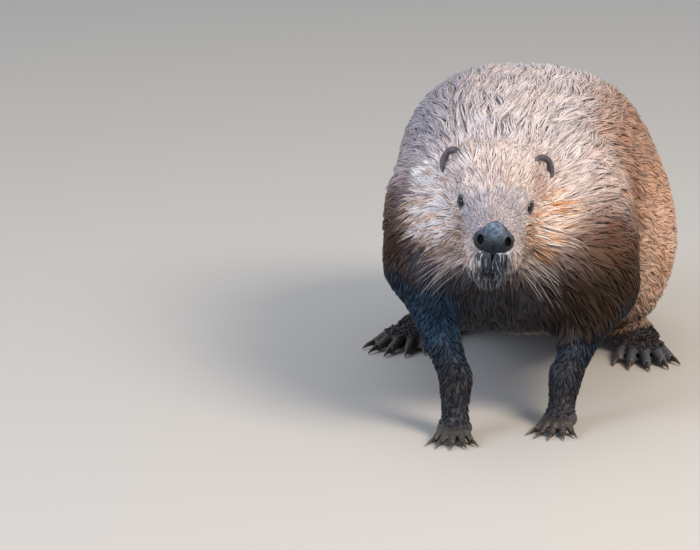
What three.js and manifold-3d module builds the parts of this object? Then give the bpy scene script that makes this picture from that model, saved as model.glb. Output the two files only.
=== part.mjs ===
// A beaver standing with its head low, life size, in millimetres.
//
// While it is drawn, x points to the animal's left, y to its tail, z up, and the point between
// the eyes is above the origin. The finished group is moved so that its origin lies on the floor,
// under the middle of its bounding box.
//
// The flesh is one smooth shape, given by a function that is negative inside it and zero on the
// outside of the coat. Rings of points are cast onto that shape along a line from nose to tail,
// the rings are joined into closed lofts, and thin cuts part them into head, neck, trunk and tail.

import * as THREE from 'three';
import { mergeVertices } from 'three/addons/utils/BufferGeometryUtils.js';
import Module from 'manifold-3d';

const wasm = await Module();
wasm.setup();

// ---------------------------------------------------------------- driving dimensions

const GAP = 0.35; // clear space between neighbouring pieces
const EYE_HEIGHT = 243;
const HEAD_TURN = 7; // degrees, towards the animal's left
const HEAD_NOD = 10; // degrees, nose down
const HEAD_ROLL = 5; // degrees, left side lower
const BODY_SHIFT = -10.5; // x of the trunk's middle, which lies to the right of the head's
const BODY_SHIFT_FROM = 20;
const BODY_SHIFT_TO = 260;
const BODY_LEAN = 0.055; // how far the back leans to the right, for each mm of height
const LEAN_LEVEL = 230;

// Sections of the head in its own frame, whose origin is the point between the eyes:
// [y, half width, level of the widest point, top, bottom, squareness of the upper half]
const HEAD_SECTIONS = [
  [-70, 27, -22, 4, -48, 2.3],
  [-55, 29, -23, 9, -50, 2.3],
  [-40, 31.5, -25, 14, -52, 2.2],
  [-20, 35, -27, 21, -56, 2.1],
  [0, 44, -29, 28, -63, 1.85],
  [22, 62, -32, 35, -75, 1.7],
  [45, 76, -35, 40, -87, 1.65],
  [70, 83, -37, 41, -94, 1.7],
  [100, 82, -38, 36, -98, 1.8],
  [130, 74, -38, 27, -98, 2],
];
const LOWER_SQUARENESS = 2.3;
const HEAD_BACK = 118;
const MUZZLE_FRONT = -68;
const MUZZLE_CURVE = { level: -20, across: 80, upright: 110, steepness: 0.85 };
const WHISKER_PAD = { centre: [14, -46, -37], radii: [17, 19, 17] };
const BROW = { centre: [25, 12, 8], radii: [14, 20, 12] };
const EYE = { centre: [30.5, 0, 0], radius: 6.5 };
const EYE_HOLLOW = { centre: [39, -3, 0], radii: [8.5, 9, 8.5] };
const NOSE = { centre: [0, -56.5, -12], radii: [19.5, 14, 15.5] };
const JAW = { centre: [0, -14, -58], radii: [26, 38, 21], slope: 8 };
const EAR = { centre: [49, 60, 23], halfWidth: 12.5, halfHeight: 15, thickness: 3.4, cup: 4.5 };
const EAR_TURNS = { lean: -32, outward: 38, tilt: 22 }; // degrees, on the left side

// Sections of the neck, trunk and tail base, in the same order of values.
const TRUNK_SECTIONS = [
  [20, 64, 190, 258, 130, 1.9],
  [100, 96, 172, 278, 86, 2.1],
  [150, 119, 165, 296, 72, 2.5],
  [210, 126, 156, 311, 56, 2.7],
  [300, 141, 148, 321, 34, 2.8],
  [400, 145, 138, 318, 24, 2.75],
  [460, 138, 128, 301, 25, 2.5],
  [520, 123, 114, 266, 28, 2.3],
  [570, 98, 95, 219, 24, 2.2],
  [610, 74, 72, 166, 15, 2.1],
  [640, 53, 48, 108, 8, 2],
  [670, 34, 26, 56, 2, 2],
  [700, 20, 12, 24, 0, 2],
];
const TRUNK_START = 20;
const TRUNK_END = 700;
const SHOULDER = { centre: [74, 145, 176], radii: [54, 80, 86] };
const SHOULDER_CUT_RADII = [58, 50, 62];
const HAUNCH = { centre: [88, 440, 118], radii: [60, 105, 98] };
const HAUNCH_CUT = [130, 428, 92];
const HAUNCH_CUT_RADII = [70, 98, 92];

// Where the body is parted.
const HEAD_PLANE = 54; // where the plane behind the ears crosses the head's middle, in its frame
const HEAD_PLANE_TILT = 28; // degrees: it leans back above and runs forward under the throat
const TILT_START = -20;
const NECK_PLANE = 150;
const TAIL_BASE_PLANE = 600;
const TAIL_BLADE_PLANE = 668;

const TAIL = { start: 652, length: 296, halfWidth: 62, halfThickness: 7.5, drift: 45, level: 6.75 };
const TAIL_SQUARENESS = 2.6; // of its outline
const TAIL_EDGE = 0.35; // its thickness at the edge, as a share of that in the middle

// Over how many millimetres neighbouring shapes flow into each other.
const BLEND = {
  muzzle: 16,
  headBack: 50,
  whiskerPad: 9,
  brow: 12,
  neck: 34,
  trunkStart: 60,
  trunkEnd: 20,
  shoulder: 50,
  haunch: 45,
};

// The legs, right then left: joints of each limb, and the way its foot points in degrees.
const FORELEGS = {
  right: {
    side: -1,
    shoulder: [-72, 145, 195],
    elbow: [-90, 92, 156],
    wrist: [-42, 22, 56],
    palm: [-40, 0, 9.6],
    heading: 4,
    parting: [-102, 131, 168],
  },
  left: {
    side: 1,
    shoulder: [72, 150, 190],
    elbow: [100, 128, 130],
    wrist: [66, 74, 50],
    palm: [62, 52, 9.6],
    heading: -6,
    parting: [106, 162, 158],
  },
};
const HIND_LEGS = {
  right: { side: -1, knee: [-104, 385, 88], heel: [-100, 482, 17.2], heading: -16 },
  left: { side: 1, knee: [104, 372, 88], heel: [100, 468, 17.2], heading: 14 },
};
const UPPER_ARM_RADII = [46, 33];
const FOREARM_RADII = [29, 17];
const WRIST_RADII = [14.5, 12];
const PALM_RADII = [19, 22, 10.5];
const FORE_TOES = { lengths: [18, 23, 25, 23, 18], radius: 5, fan: 17, start: 14 };
const SHANK_RADII = [30, 20];
const SHANK_RISE = 8; // of the shank's lower end over the heel
const FOOT_LENGTH = 78; // from the heel to the ball
const FOOT_RADII = [18, 17];
const BALL_HEIGHT = 13;
const BALL_RADII = [27, 30, 12];
const HIND_TOES = { lengths: [46, 60, 66, 62, 50], radius: 7, fan: 13, start: 16 };
const TOE_SHAPE = { rise: 0.25, tip: 0.7, taper: [1.15, 1, 0.9, 0.35] }; // in toe radii
const WEB = { from: 3.2, to: 7, reach: 0.8 };
const FORE_CLAW = { length: 13, radius: 2.4 };
const HIND_CLAW = { length: 15, radius: 3.4 };
const CLAW_SHAPE = { bend: 0.55, bendRadius: 0.75, tipHeight: 0.8, tipRadius: 0.5 };

// ---------------------------------------------------------------- small helpers

const radians = THREE.MathUtils.degToRad;
const vector = (values) => new THREE.Vector3(...values);
const mirrored = (values, side) => vector([side * values[0], values[1], values[2]]);
const range = (count) => Array.from({ length: count }, (_, index) => index);
const smoothStep = (value) => value * value * (3 - 2 * value);
const clamp01 = (value) => Math.min(Math.max(value, 0), 1);

const headMatrix = new THREE.Matrix4()
  .makeRotationZ(radians(HEAD_TURN))
  .multiply(new THREE.Matrix4().makeRotationX(radians(HEAD_NOD)))
  .multiply(new THREE.Matrix4().makeRotationY(radians(HEAD_ROLL)))
  .setPosition(0, 0, EYE_HEIGHT);
const intoHead = headMatrix.clone().invert();

// The trunk lies a little to one side of the head, so the neck bends.
function bodyShift(y) {
  return BODY_SHIFT * smoothStep(clamp01((y - BODY_SHIFT_FROM) / (BODY_SHIFT_TO - BODY_SHIFT_FROM)));
}

function shifted(values) {
  const point = vector(values);
  point.x += bodyShift(point.y);
  return point;
}

function ahead(degrees) {
  return new THREE.Vector3(Math.sin(radians(degrees)), -Math.cos(radians(degrees)), 0);
}

// ---------------------------------------------------------------- the shape of the flesh

function smoothMin(a, b, blend) {
  const overlap = Math.max(blend - Math.abs(a - b), 0) / blend;
  return Math.min(a, b) - (overlap * overlap * blend) / 4;
}

function smoothMax(a, b, blend) {
  return -smoothMin(-a, -b, blend);
}

function ellipsoidField(point, centre, radii) {
  const scaled = point.clone().sub(centre).divide(vector(radii));
  const steep = scaled.clone().divide(vector(radii)).length();
  return (scaled.length() * (scaled.length() - 1)) / Math.max(steep, 1e-9);
}

// A mass and its mirror image.
function pairField(point, { centre, radii }) {
  return Math.min(
    ellipsoidField(point, mirrored(centre, 1), radii),
    ellipsoidField(point, mirrored(centre, -1), radii),
  );
}

// Smooth values between sections, by a cubic through each pair of neighbours.
function sectionAt(sections, y) {
  const last = sections.length - 1;
  const at = Math.min(Math.max(y, sections[0][0]), sections[last][0]);
  let index = 0;
  while (index < last - 1 && sections[index + 1][0] <= at) index += 1;
  const slopeOf = (row, column) => {
    const before = sections[Math.max(row - 1, 0)];
    const after = sections[Math.min(row + 1, last)];
    return (after[column] - before[column]) / (after[0] - before[0]);
  };
  const [from, to] = [sections[index], sections[index + 1]];
  const step = to[0] - from[0];
  const t = (at - from[0]) / step;
  return [1, 2, 3, 4, 5].map(
    (column) =>
      (2 * t ** 3 - 3 * t ** 2 + 1) * from[column] +
      (t ** 3 - 2 * t ** 2 + t) * step * slopeOf(index, column) +
      (3 * t ** 2 - 2 * t ** 3) * to[column] +
      (t ** 3 - t ** 2) * step * slopeOf(index + 1, column),
  );
}

// How far a point is outside the oval section at its own y, measured from the section's middle.
function sectionsField(point, sections) {
  const [halfWidth, widest, top, bottom, upperSquareness] = sectionAt(sections, point.y);
  const rise = point.z - widest;
  const halfHeight = rise > 0 ? top - widest : widest - bottom;
  const squareness = rise > 0 ? upperSquareness : LOWER_SQUARENESS;
  const across = Math.abs(point.x) / halfWidth;
  const upright = Math.abs(rise) / halfHeight;
  const share = (across ** squareness + upright ** squareness) ** (1 / squareness);
  return share < 1e-6 ? -Math.min(halfWidth, halfHeight) : Math.hypot(point.x, rise) * (1 - 1 / share);
}

function headField(point) {
  const local = point.clone().applyMatrix4(intoHead);
  const { level, across, upright, steepness } = MUZZLE_CURVE;
  const front = MUZZLE_FRONT - local.y + local.x ** 2 / across + (local.z - level) ** 2 / upright;
  let field = smoothMax(sectionsField(local, HEAD_SECTIONS), front * steepness, BLEND.muzzle);
  field = smoothMax(field, local.y - HEAD_BACK, BLEND.headBack);
  field = smoothMin(field, pairField(local, WHISKER_PAD), BLEND.whiskerPad);
  return smoothMin(field, pairField(local, BROW), BLEND.brow);
}

function trunkField(point) {
  const straight = point.clone();
  straight.x -= bodyShift(point.y) + BODY_LEAN * (LEAN_LEVEL - point.z);
  let field = sectionsField(straight, TRUNK_SECTIONS);
  field = smoothMax(field, TRUNK_START - straight.y, BLEND.trunkStart);
  field = smoothMax(field, straight.y - TRUNK_END, BLEND.trunkEnd);
  field = smoothMin(field, pairField(straight, SHOULDER), BLEND.shoulder);
  return smoothMin(field, pairField(straight, HAUNCH), BLEND.haunch);
}

function bodyField(point) {
  return smoothMin(headField(point), trunkField(point), BLEND.neck);
}

// ---------------------------------------------------------------- lofts and cuts

// Joins rings of points into a closed body, with a fan of triangles on each end.
function loft(rings) {
  const sides = rings[0].length;
  const middle = (ring) => ring.reduce((sum, p) => sum.add(p), new THREE.Vector3()).divideScalar(sides);
  const points = [...rings.flat(), middle(rings[0]), middle(rings[rings.length - 1])];
  const first = rings.length * sides;
  const triangles = [];
  for (const ring of range(rings.length - 1)) {
    for (const side of range(sides)) {
      const next = (side + 1) % sides;
      const [a, b] = [ring * sides + side, ring * sides + next];
      triangles.push(a, a + sides, b, b, a + sides, b + sides);
    }
  }
  const lastRing = (rings.length - 1) * sides;
  for (const side of range(sides)) {
    const next = (side + 1) % sides;
    triangles.push(first, side, next, first + 1, lastRing + next, lastRing + side);
  }
  const geometry = new THREE.BufferGeometry().setFromPoints(points);
  geometry.setIndex(triangles);
  return solid(geometry);
}

function solid(geometry) {
  const bare = geometry.clone();
  bare.deleteAttribute('normal');
  bare.deleteAttribute('uv');
  const merged = mergeVertices(bare, 1e-4);
  return new wasm.Manifold(new wasm.Mesh({
    numProp: 3,
    vertProperties: new Float32Array(merged.attributes.position.array),
    triVerts: new Uint32Array(merged.index.array),
  }));
}

const CAST_STEP = 2;
const CAST_HALVINGS = 14;

// The first point outside the shape, from a point inside it along a direction.
function surfacePoint(field, origin, direction) {
  const at = (distance) => origin.clone().addScaledVector(direction, distance);
  let [inner, outer] = [0, CAST_STEP];
  while (field(at(outer)) < 0) {
    inner = outer;
    outer += CAST_STEP;
  }
  for (const _ of range(CAST_HALVINGS)) {
    const half = (inner + outer) / 2;
    if (field(at(half)) < 0) inner = half;
    else outer = half;
  }
  return at(outer);
}

function castRing(field, { origin, across, up }, sides) {
  return range(sides).map((side) => {
    const angle = (2 * Math.PI * side) / sides;
    const direction = across.clone().multiplyScalar(Math.cos(angle)).addScaledVector(up, Math.sin(angle));
    return surfacePoint(field, origin, direction);
  });
}

function ellipsoid({ centre, radii, slope = 0 }, grown = 0, columns = 10, rows = 6) {
  const geometry = new THREE.SphereGeometry(1, columns, rows);
  geometry.scale(...radii.map((radius) => radius + grown));
  geometry.rotateX(radians(slope));
  geometry.translate(...(centre.isVector3 ? centre.toArray() : centre));
  return solid(geometry);
}

// A loft of round rings along a path of points, each with its own radius.
function spindle(path, radii, sides) {
  return loft(path.map((point, index) => {
    const before = path[Math.max(index - 1, 0)];
    const after = path[Math.min(index + 1, path.length - 1)];
    const direction = after.clone().sub(before).normalize();
    const across = direction.clone().cross(new THREE.Vector3(0, 0, 1)).normalize();
    const up = across.clone().cross(direction);
    return range(sides).map((side) => {
      const angle = (2 * Math.PI * (side + 0.5)) / sides;
      return point.clone()
        .addScaledVector(across, radii[index] * Math.cos(angle))
        .addScaledVector(up, radii[index] * Math.sin(angle));
    });
  }));
}

const END_RINGS = [75, 38, 0]; // degrees from a bar's middle, of the rings that round its ends

// A tapered bar with round ends.
function bar(from, to, [r0, r1], grown = 0, sides = 10) {
  const direction = to.clone().sub(from).normalize();
  const path = [];
  const radii = [];
  for (const [end, radius, way] of [[from, r0 + grown, -1], [to, r1 + grown, 1]]) {
    const arc = END_RINGS.map((degrees) => {
      const angle = radians(degrees);
      return [
        end.clone().addScaledVector(direction, way * radius * Math.sin(angle)),
        radius * Math.cos(angle),
      ];
    });
    if (way > 0) arc.reverse();
    path.push(...arc.map(([point]) => point));
    radii.push(...arc.map(([, value]) => value));
  }
  return spindle(path, radii, sides);
}

const aboveFloor = solid(new THREE.BoxGeometry(2000, 3000, 1000).translate(0, 0, 500));
const unite = (pieces) => pieces.reduce((sum, piece) => sum.add(piece));
const cut = (piece, ...tools) => tools.reduce((left, tool) => left.subtract(tool), piece);
const onFloor = (piece) => piece.intersect(aboveFloor);
const placedInHead = (piece) => piece.transform(headMatrix.toArray());

// ---------------------------------------------------------------- body, from nose to tail

const BODY_SIDES = 24;

// A plane across the head, at a distance behind the eyes. It leans back more and more.
function headFrame(y) {
  const level = sectionAt(HEAD_SECTIONS, y)[1];
  const tilt = radians(HEAD_PLANE_TILT * clamp01((y - TILT_START) / (HEAD_PLANE - TILT_START)));
  return {
    origin: new THREE.Vector3(0, y, level).applyMatrix4(headMatrix),
    across: new THREE.Vector3(1, 0, 0).transformDirection(headMatrix),
    up: new THREE.Vector3(0, Math.sin(tilt), Math.cos(tilt)).transformDirection(headMatrix),
  };
}

function trunkFrame(y) {
  return {
    origin: new THREE.Vector3(bodyShift(y), y, sectionAt(TRUNK_SECTIONS, y)[1]),
    across: new THREE.Vector3(1, 0, 0),
    up: new THREE.Vector3(0, 0, 1),
  };
}

// Planes that swing smoothly from the head's to the trunk's.
function neckFrame(share) {
  const [head, trunk] = [headFrame(HEAD_PLANE), trunkFrame(NECK_PLANE)];
  return {
    origin: head.origin.clone().lerp(trunk.origin, share),
    across: head.across.clone().lerp(trunk.across, share).normalize(),
    up: head.up.clone().lerp(trunk.up, share).normalize(),
  };
}

const rings = (frames, grown) =>
  frames.map((frame) => castRing((point) => bodyField(point) - grown, frame, BODY_SIDES));
const spread = (from, to, count) => range(count).map((i) => from + ((to - from) * i) / (count - 1));

const HEAD_PLACES = [-67.4, -65.5, -61, -53, -42, -30, -17, -5, 6, 18, 30, 42, HEAD_PLANE];
const neckGap = GAP / headFrame(HEAD_PLANE).origin.distanceTo(trunkFrame(NECK_PLANE).origin);
const BODY_FRAMES = {
  head: HEAD_PLACES.map(headFrame),
  neck: spread(neckGap, 1 - neckGap, 6).map(neckFrame),
  trunk: spread(NECK_PLANE, TAIL_BASE_PLANE - GAP, 13).map(trunkFrame),
  tailBase: spread(TAIL_BASE_PLANE, TAIL_BLADE_PLANE - GAP, 4).map(trunkFrame),
};

const headSolid = loft(rings(BODY_FRAMES.head, 0));
const neckSolid = loft(rings(BODY_FRAMES.neck, 0));
const trunkSolid = loft(rings(BODY_FRAMES.trunk, 0));
const tailBaseSolid = loft(rings(BODY_FRAMES.tailBase, 0));
const wholeLoft = (grown) => loft(rings(Object.values(BODY_FRAMES).flat(), grown));
const bodyWhole = wholeLoft(0);
const bodyGrown = wholeLoft(GAP); // cuts away what would touch the body
const partings = []; // solids that part the upper legs from the neck and trunk

// ---------------------------------------------------------------- head

function headPieces() {
  const pieces = {};
  const jawWhole = placedInHead(ellipsoid(JAW, 0, 14, 9));
  pieces.jaw = cut(jawWhole, bodyGrown);
  pieces.nose = placedInHead(ellipsoid(NOSE, 0, 12, 7));
  const cuts = [placedInHead(ellipsoid(NOSE, GAP, 12, 7))];
  for (const [name, side] of [['right', -1], ['left', 1]]) {
    const centre = mirrored(EYE.centre, side);
    const ball = (grown) => ellipsoid({ centre, radii: Array(3).fill(EYE.radius) }, grown, 9, 6);
    const hollow = { centre: mirrored(EYE_HOLLOW.centre, side), radii: EYE_HOLLOW.radii };
    pieces[`eye_${name}`] = placedInHead(ball(0));
    pieces[`ear_${name}`] = cut(placedInHead(ear(side)), bodyGrown);
    cuts.push(placedInHead(ball(GAP)), placedInHead(ellipsoid(hollow, 0, 9, 6)));
  }
  pieces.head = cut(headSolid, ...cuts);
  return pieces;
}

// A small round ear: a thin cupped oval whose lower third is set in the head.
function ear(side) {
  const geometry = new THREE.SphereGeometry(1, 12, 8);
  const { position } = geometry.attributes;
  for (const index of range(position.count)) {
    const [u, v, w] = [position.getX(index), position.getZ(index), position.getY(index)];
    const cup = EAR.cup * (u * u + 0.5 * v * v);
    position.setXYZ(index, EAR.halfWidth * u, (EAR.thickness / 2) * w - cup, EAR.halfHeight * v);
  }
  geometry.rotateX(radians(EAR_TURNS.lean));
  geometry.rotateZ(radians(side * EAR_TURNS.outward));
  geometry.rotateY(radians(side * EAR_TURNS.tilt));
  geometry.translate(...mirrored(EAR.centre, side).toArray());
  return solid(geometry);
}

// ---------------------------------------------------------------- legs

// Toes fan out from a point; each rises over its middle joint and rests on its tip.
function toePaths({ origin, heading, side, toes }) {
  return toes.lengths.map((length, index) => {
    const direction = ahead(heading + side * toes.fan * (index - 2));
    const at = (distance, height) =>
      origin.clone().addScaledVector(direction, distance).setZ(height);
    const tipHeight = toes.radius * TOE_SHAPE.tip;
    const path = [
      at(toes.start, origin.z),
      at(toes.start + length / 2, origin.z + toes.radius * TOE_SHAPE.rise),
      at(toes.start + length, tipHeight),
      at(toes.start + length + toes.radius * TOE_SHAPE.tip, tipHeight),
    ];
    return { path, direction, radius: toes.radius };
  });
}

const TOE_SIDES = 6;
const CLAW_SIDES = 5;

function toeSolid({ path, radius }) {
  return spindle(path, TOE_SHAPE.taper.map((share) => share * radius), TOE_SIDES);
}

// A claw springs from the toe's tip and curves down to the floor.
function clawSolid({ path, direction }, { length, radius }) {
  const root = path[path.length - 1];
  const at = (share, height) =>
    root.clone().addScaledVector(direction, GAP + length * share).setZ(height);
  const rootHeight = Math.max(root.z, radius);
  const { bend, bendRadius, tipHeight, tipRadius } = CLAW_SHAPE;
  return spindle(
    [at(0, rootHeight), at(bend, rootHeight), at(1, tipHeight)],
    [radius, radius * bendRadius, tipRadius],
    CLAW_SIDES,
  );
}

// The skin between the hind toes: a thin flat fan out to near their tips.
function webSolid(ball, toes) {
  const outline = [ball, ...toes.map(({ path }) => path[0].clone().lerp(path[3], WEB.reach))];
  const shape = new THREE.Shape(outline.map(({ x, y }) => new THREE.Vector2(x, y)));
  const geometry = new THREE.ExtrudeGeometry(shape, { depth: WEB.to - WEB.from, bevelEnabled: false });
  return solid(geometry.translate(0, 0, WEB.from));
}

function forelegPieces(name, leg) {
  const [shoulder, elbow, wrist, palm] = [leg.shoulder, leg.elbow, leg.wrist, leg.palm].map(shifted);
  const upperArm = (grown) => bar(shoulder, elbow, UPPER_ARM_RADII, grown);
  const parting = (grown) => ellipsoid({ centre: shifted(leg.parting), radii: SHOULDER_CUT_RADII }, grown);
  const forearm = (grown) => bar(elbow, wrist, FOREARM_RADII, grown);
  const toes = toePaths({ origin: palm, heading: leg.heading, side: leg.side, toes: FORE_TOES });
  const palmSolid = ellipsoid({ centre: palm, radii: PALM_RADII }, 0, 8, 5);
  const paw = unite([bar(wrist, palm, WRIST_RADII, 0, 8), palmSolid, ...toes.map(toeSolid)]);
  const pieces = {
    [`upper_foreleg_${name}`]: unite([bodyWhole, upperArm(0)]).intersect(parting(0)),
    [`forearm_${name}`]: cut(forearm(0), bodyGrown, upperArm(GAP)),
    [`forepaw_${name}`]: onFloor(cut(paw, forearm(GAP))),
  };
  partings.push(parting(GAP));
  toes.forEach((toe, index) => {
    pieces[`fore_claw_${name}_${index + 1}`] = clawSolid(toe, FORE_CLAW);
  });
  return pieces;
}

function hindLegPieces(name, leg) {
  const [knee, heel] = [leg.knee, leg.heel].map(shifted);
  const ball = heel.clone().addScaledVector(ahead(leg.heading), FOOT_LENGTH).setZ(BALL_HEIGHT);
  const middle = shifted([leg.side * HAUNCH_CUT[0], HAUNCH_CUT[1], HAUNCH_CUT[2]]);
  const parting = (grown) => ellipsoid({ centre: middle, radii: HAUNCH_CUT_RADII }, grown);
  const shank = (grown) => bar(knee, heel.clone().setZ(heel.z + SHANK_RISE), SHANK_RADII, grown);
  const toes = toePaths({ origin: ball, heading: leg.heading, side: leg.side, toes: HIND_TOES });
  const foot = unite([
    bar(heel, ball, FOOT_RADII, 0, 8),
    ellipsoid({ centre: ball, radii: BALL_RADII }, 0, 8, 5),
    webSolid(ball, toes),
    ...toes.map(toeSolid),
  ]);
  const pieces = {
    [`thigh_${name}`]: bodyWhole.intersect(parting(0)),
    [`shank_${name}`]: onFloor(cut(shank(0), bodyGrown)),
    [`hindfoot_${name}`]: onFloor(cut(foot, bodyGrown, shank(GAP))),
  };
  partings.push(parting(GAP));
  toes.forEach((toe, index) => {
    pieces[`hind_claw_${name}_${index + 1}`] = clawSolid(toe, HIND_CLAW);
  });
  return pieces;
}

// ---------------------------------------------------------------- tail

const END_INSET = 0.35; // of the first and last ring from the blade's ends, in ring steps

// The flat scaly blade: an oval in outline, thin at its edge, drifting to the left.
function tailBlade() {
  const stations = 11;
  const sides = 12;
  const bladeRings = range(stations).map((index) => {
    const turn = (Math.PI * (index + END_INSET)) / (stations - 1 + 2 * END_INSET);
    const share = 0.5 - 0.5 * Math.cos(turn);
    const y = TAIL.start + TAIL.length * share;
    const outline = (1 - Math.abs(2 * share - 1) ** TAIL_SQUARENESS) ** (1 / TAIL_SQUARENESS);
    const thick = TAIL.halfThickness * (TAIL_EDGE + (1 - TAIL_EDGE) * outline);
    return range(sides).map((side) => {
      const angle = (2 * Math.PI * side) / sides;
      return new THREE.Vector3(
        bodyShift(y) + TAIL.drift * share ** 2 + TAIL.halfWidth * outline * Math.cos(angle),
        y,
        TAIL.level + thick * Math.sin(angle),
      );
    });
  });
  return onFloor(cut(loft(bladeRings), bodyGrown));
}

const legPieces = {};
for (const [name, leg] of Object.entries(FORELEGS)) Object.assign(legPieces, forelegPieces(name, leg));
for (const [name, leg] of Object.entries(HIND_LEGS)) Object.assign(legPieces, hindLegPieces(name, leg));
const pieces = {
  ...headPieces(),
  neck: cut(neckSolid, ...partings),
  trunk: cut(trunkSolid, ...partings),
  tail_base: onFloor(tailBaseSolid),
  tail_blade: tailBlade(),
  ...legPieces,
};

// ---------------------------------------------------------------- meshes

const FINISHES = {
  coat: { color: '#B99480', roughness: 0.85 },
  wetFur: { color: '#4C5965', roughness: 0.7 },
  tailSkin: { color: '#3B3733', roughness: 0.55 },
  footSkin: { color: '#45423F', roughness: 0.6 },
  noseSkin: { color: '#37414D', roughness: 0.35 },
  eye: { color: '#15110F', roughness: 0.08 },
  claw: { color: '#332C27', roughness: 0.4 },
};

function finishOf(name) {
  if (name.includes('claw')) return FINISHES.claw;
  if (name.startsWith('eye')) return FINISHES.eye;
  if (name === 'nose') return FINISHES.noseSkin;
  if (name === 'tail_blade') return FINISHES.tailSkin;
  if (name.startsWith('forepaw') || name.startsWith('hindfoot')) return FINISHES.footSkin;
  if (name.startsWith('forearm') || name.startsWith('ear')) return FINISHES.wetFur;
  return FINISHES.coat;
}

function meshOf(name, piece) {
  const { vertProperties, triVerts } = piece.getMesh();
  const geometry = new THREE.BufferGeometry();
  geometry.setAttribute('position', new THREE.BufferAttribute(new Float32Array(vertProperties), 3));
  geometry.setIndex(new THREE.BufferAttribute(new Uint32Array(triVerts), 1));
  const mesh = new THREE.Mesh(geometry, new THREE.MeshStandardMaterial({ metalness: 0, ...finishOf(name) }));
  mesh.name = name;
  return mesh;
}

const beaver = new THREE.Group();
for (const [name, piece] of Object.entries(pieces)) beaver.add(meshOf(name, piece));
const middle = new THREE.Box3().setFromObject(beaver).getCenter(new THREE.Vector3());
beaver.position.set(-middle.x, -middle.y, 0);

export default beaver;
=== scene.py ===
"""A beaver with wet, clumped fur, standing with its head low: a life-size museum model.

Lengths in the tables are millimetres in the animal's own frame: x to its left, y to its tail, z up, with
the floor at zero and the point between the eyes above the origin. Everything else is in metres.
"""

import math
from functools import partial

import bpy
import numpy as np
from mathutils import Matrix, Vector
from mathutils.kdtree import KDTree


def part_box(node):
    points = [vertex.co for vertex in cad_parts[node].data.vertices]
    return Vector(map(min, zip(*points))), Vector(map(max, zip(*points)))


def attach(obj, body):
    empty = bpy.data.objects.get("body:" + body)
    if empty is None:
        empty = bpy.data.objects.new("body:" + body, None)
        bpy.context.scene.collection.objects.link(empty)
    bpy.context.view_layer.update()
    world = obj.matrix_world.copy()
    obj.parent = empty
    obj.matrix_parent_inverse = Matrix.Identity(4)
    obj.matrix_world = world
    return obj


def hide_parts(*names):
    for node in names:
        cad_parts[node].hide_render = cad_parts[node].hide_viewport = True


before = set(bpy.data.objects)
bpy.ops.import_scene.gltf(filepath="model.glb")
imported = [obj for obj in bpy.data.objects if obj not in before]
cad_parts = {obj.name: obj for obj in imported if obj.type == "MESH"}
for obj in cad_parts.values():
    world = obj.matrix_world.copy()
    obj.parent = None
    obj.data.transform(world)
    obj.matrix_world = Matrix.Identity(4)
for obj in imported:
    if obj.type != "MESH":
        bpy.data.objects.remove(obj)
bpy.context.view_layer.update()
random = np.random.default_rng(7)

# ------------------------------------------------------------------ places taken from the frame

EYE_HEIGHT = 243.0
MM = 0.001


def node_middle(name):
    low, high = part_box(name)
    return (low + high) / 2


eyes_middle = (node_middle("eye_left") + node_middle("eye_right")) / 2
row_shift = np.array(eyes_middle) - np.array([0, 0, EYE_HEIGHT * MM])


def to_row(points):
    """Points of the animal's frame, in mm, as metres in the model's frame."""
    return np.asarray(points, float) * MM + row_shift


# ------------------------------------------------------------------ camera

PICTURE = (700, 550)
LENS_PIXELS = 4000.0  # focal length, in pixels of the picture
SENSOR = 36.0
CAMERA_DISTANCE = 4.0
CAMERA_AZIMUTH = 7.0  # towards the animal's left
CAMERA_RISE = 12.0
EYES_IN_PICTURE = (495.5, 204.0)  # where the point between the eyes falls


def add_camera():
    """Looks down on the face from the front; the face sits right of the picture's middle."""
    azimuth, rise = math.radians(CAMERA_AZIMUTH), math.radians(CAMERA_RISE)
    level = math.cos(rise)
    to_eyes = Vector((-math.sin(azimuth) * level, math.cos(azimuth) * level, -math.sin(rise)))
    aside = (EYES_IN_PICTURE[0] - PICTURE[0] / 2) / LENS_PIXELS
    above = (PICTURE[1] / 2 - EYES_IN_PICTURE[1]) / LENS_PIXELS
    forward = to_eyes.copy()
    for _ in range(20):
        right = forward.cross(Vector((0, 0, 1))).normalized()
        up = right.cross(forward)
        forward = (to_eyes - right * aside - up * above).normalized()
    right = forward.cross(Vector((0, 0, 1))).normalized()
    data = bpy.data.cameras.new("camera")
    data.sensor_width = SENSOR
    data.lens = LENS_PIXELS / PICTURE[0] * SENSOR
    data.clip_end = 50.0
    camera = bpy.data.objects.new("camera", data)
    camera.matrix_world = Matrix.LocRotScale(
        eyes_middle - to_eyes * CAMERA_DISTANCE,
        Matrix((right, right.cross(forward), -forward)).transposed().to_quaternion(),
        None,
    )
    bpy.context.scene.collection.objects.link(camera)
    bpy.context.scene.camera = camera


add_camera()

# ------------------------------------------------------------------ the shape of the flesh

HEAD_TURN, HEAD_NOD, HEAD_ROLL = 7.0, 10.0, 5.0
BODY_SHIFT, BODY_SHIFT_FROM, BODY_SHIFT_TO = -10.5, 20.0, 260.0
BODY_LEAN, LEAN_LEVEL = 0.055, 230.0

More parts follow.
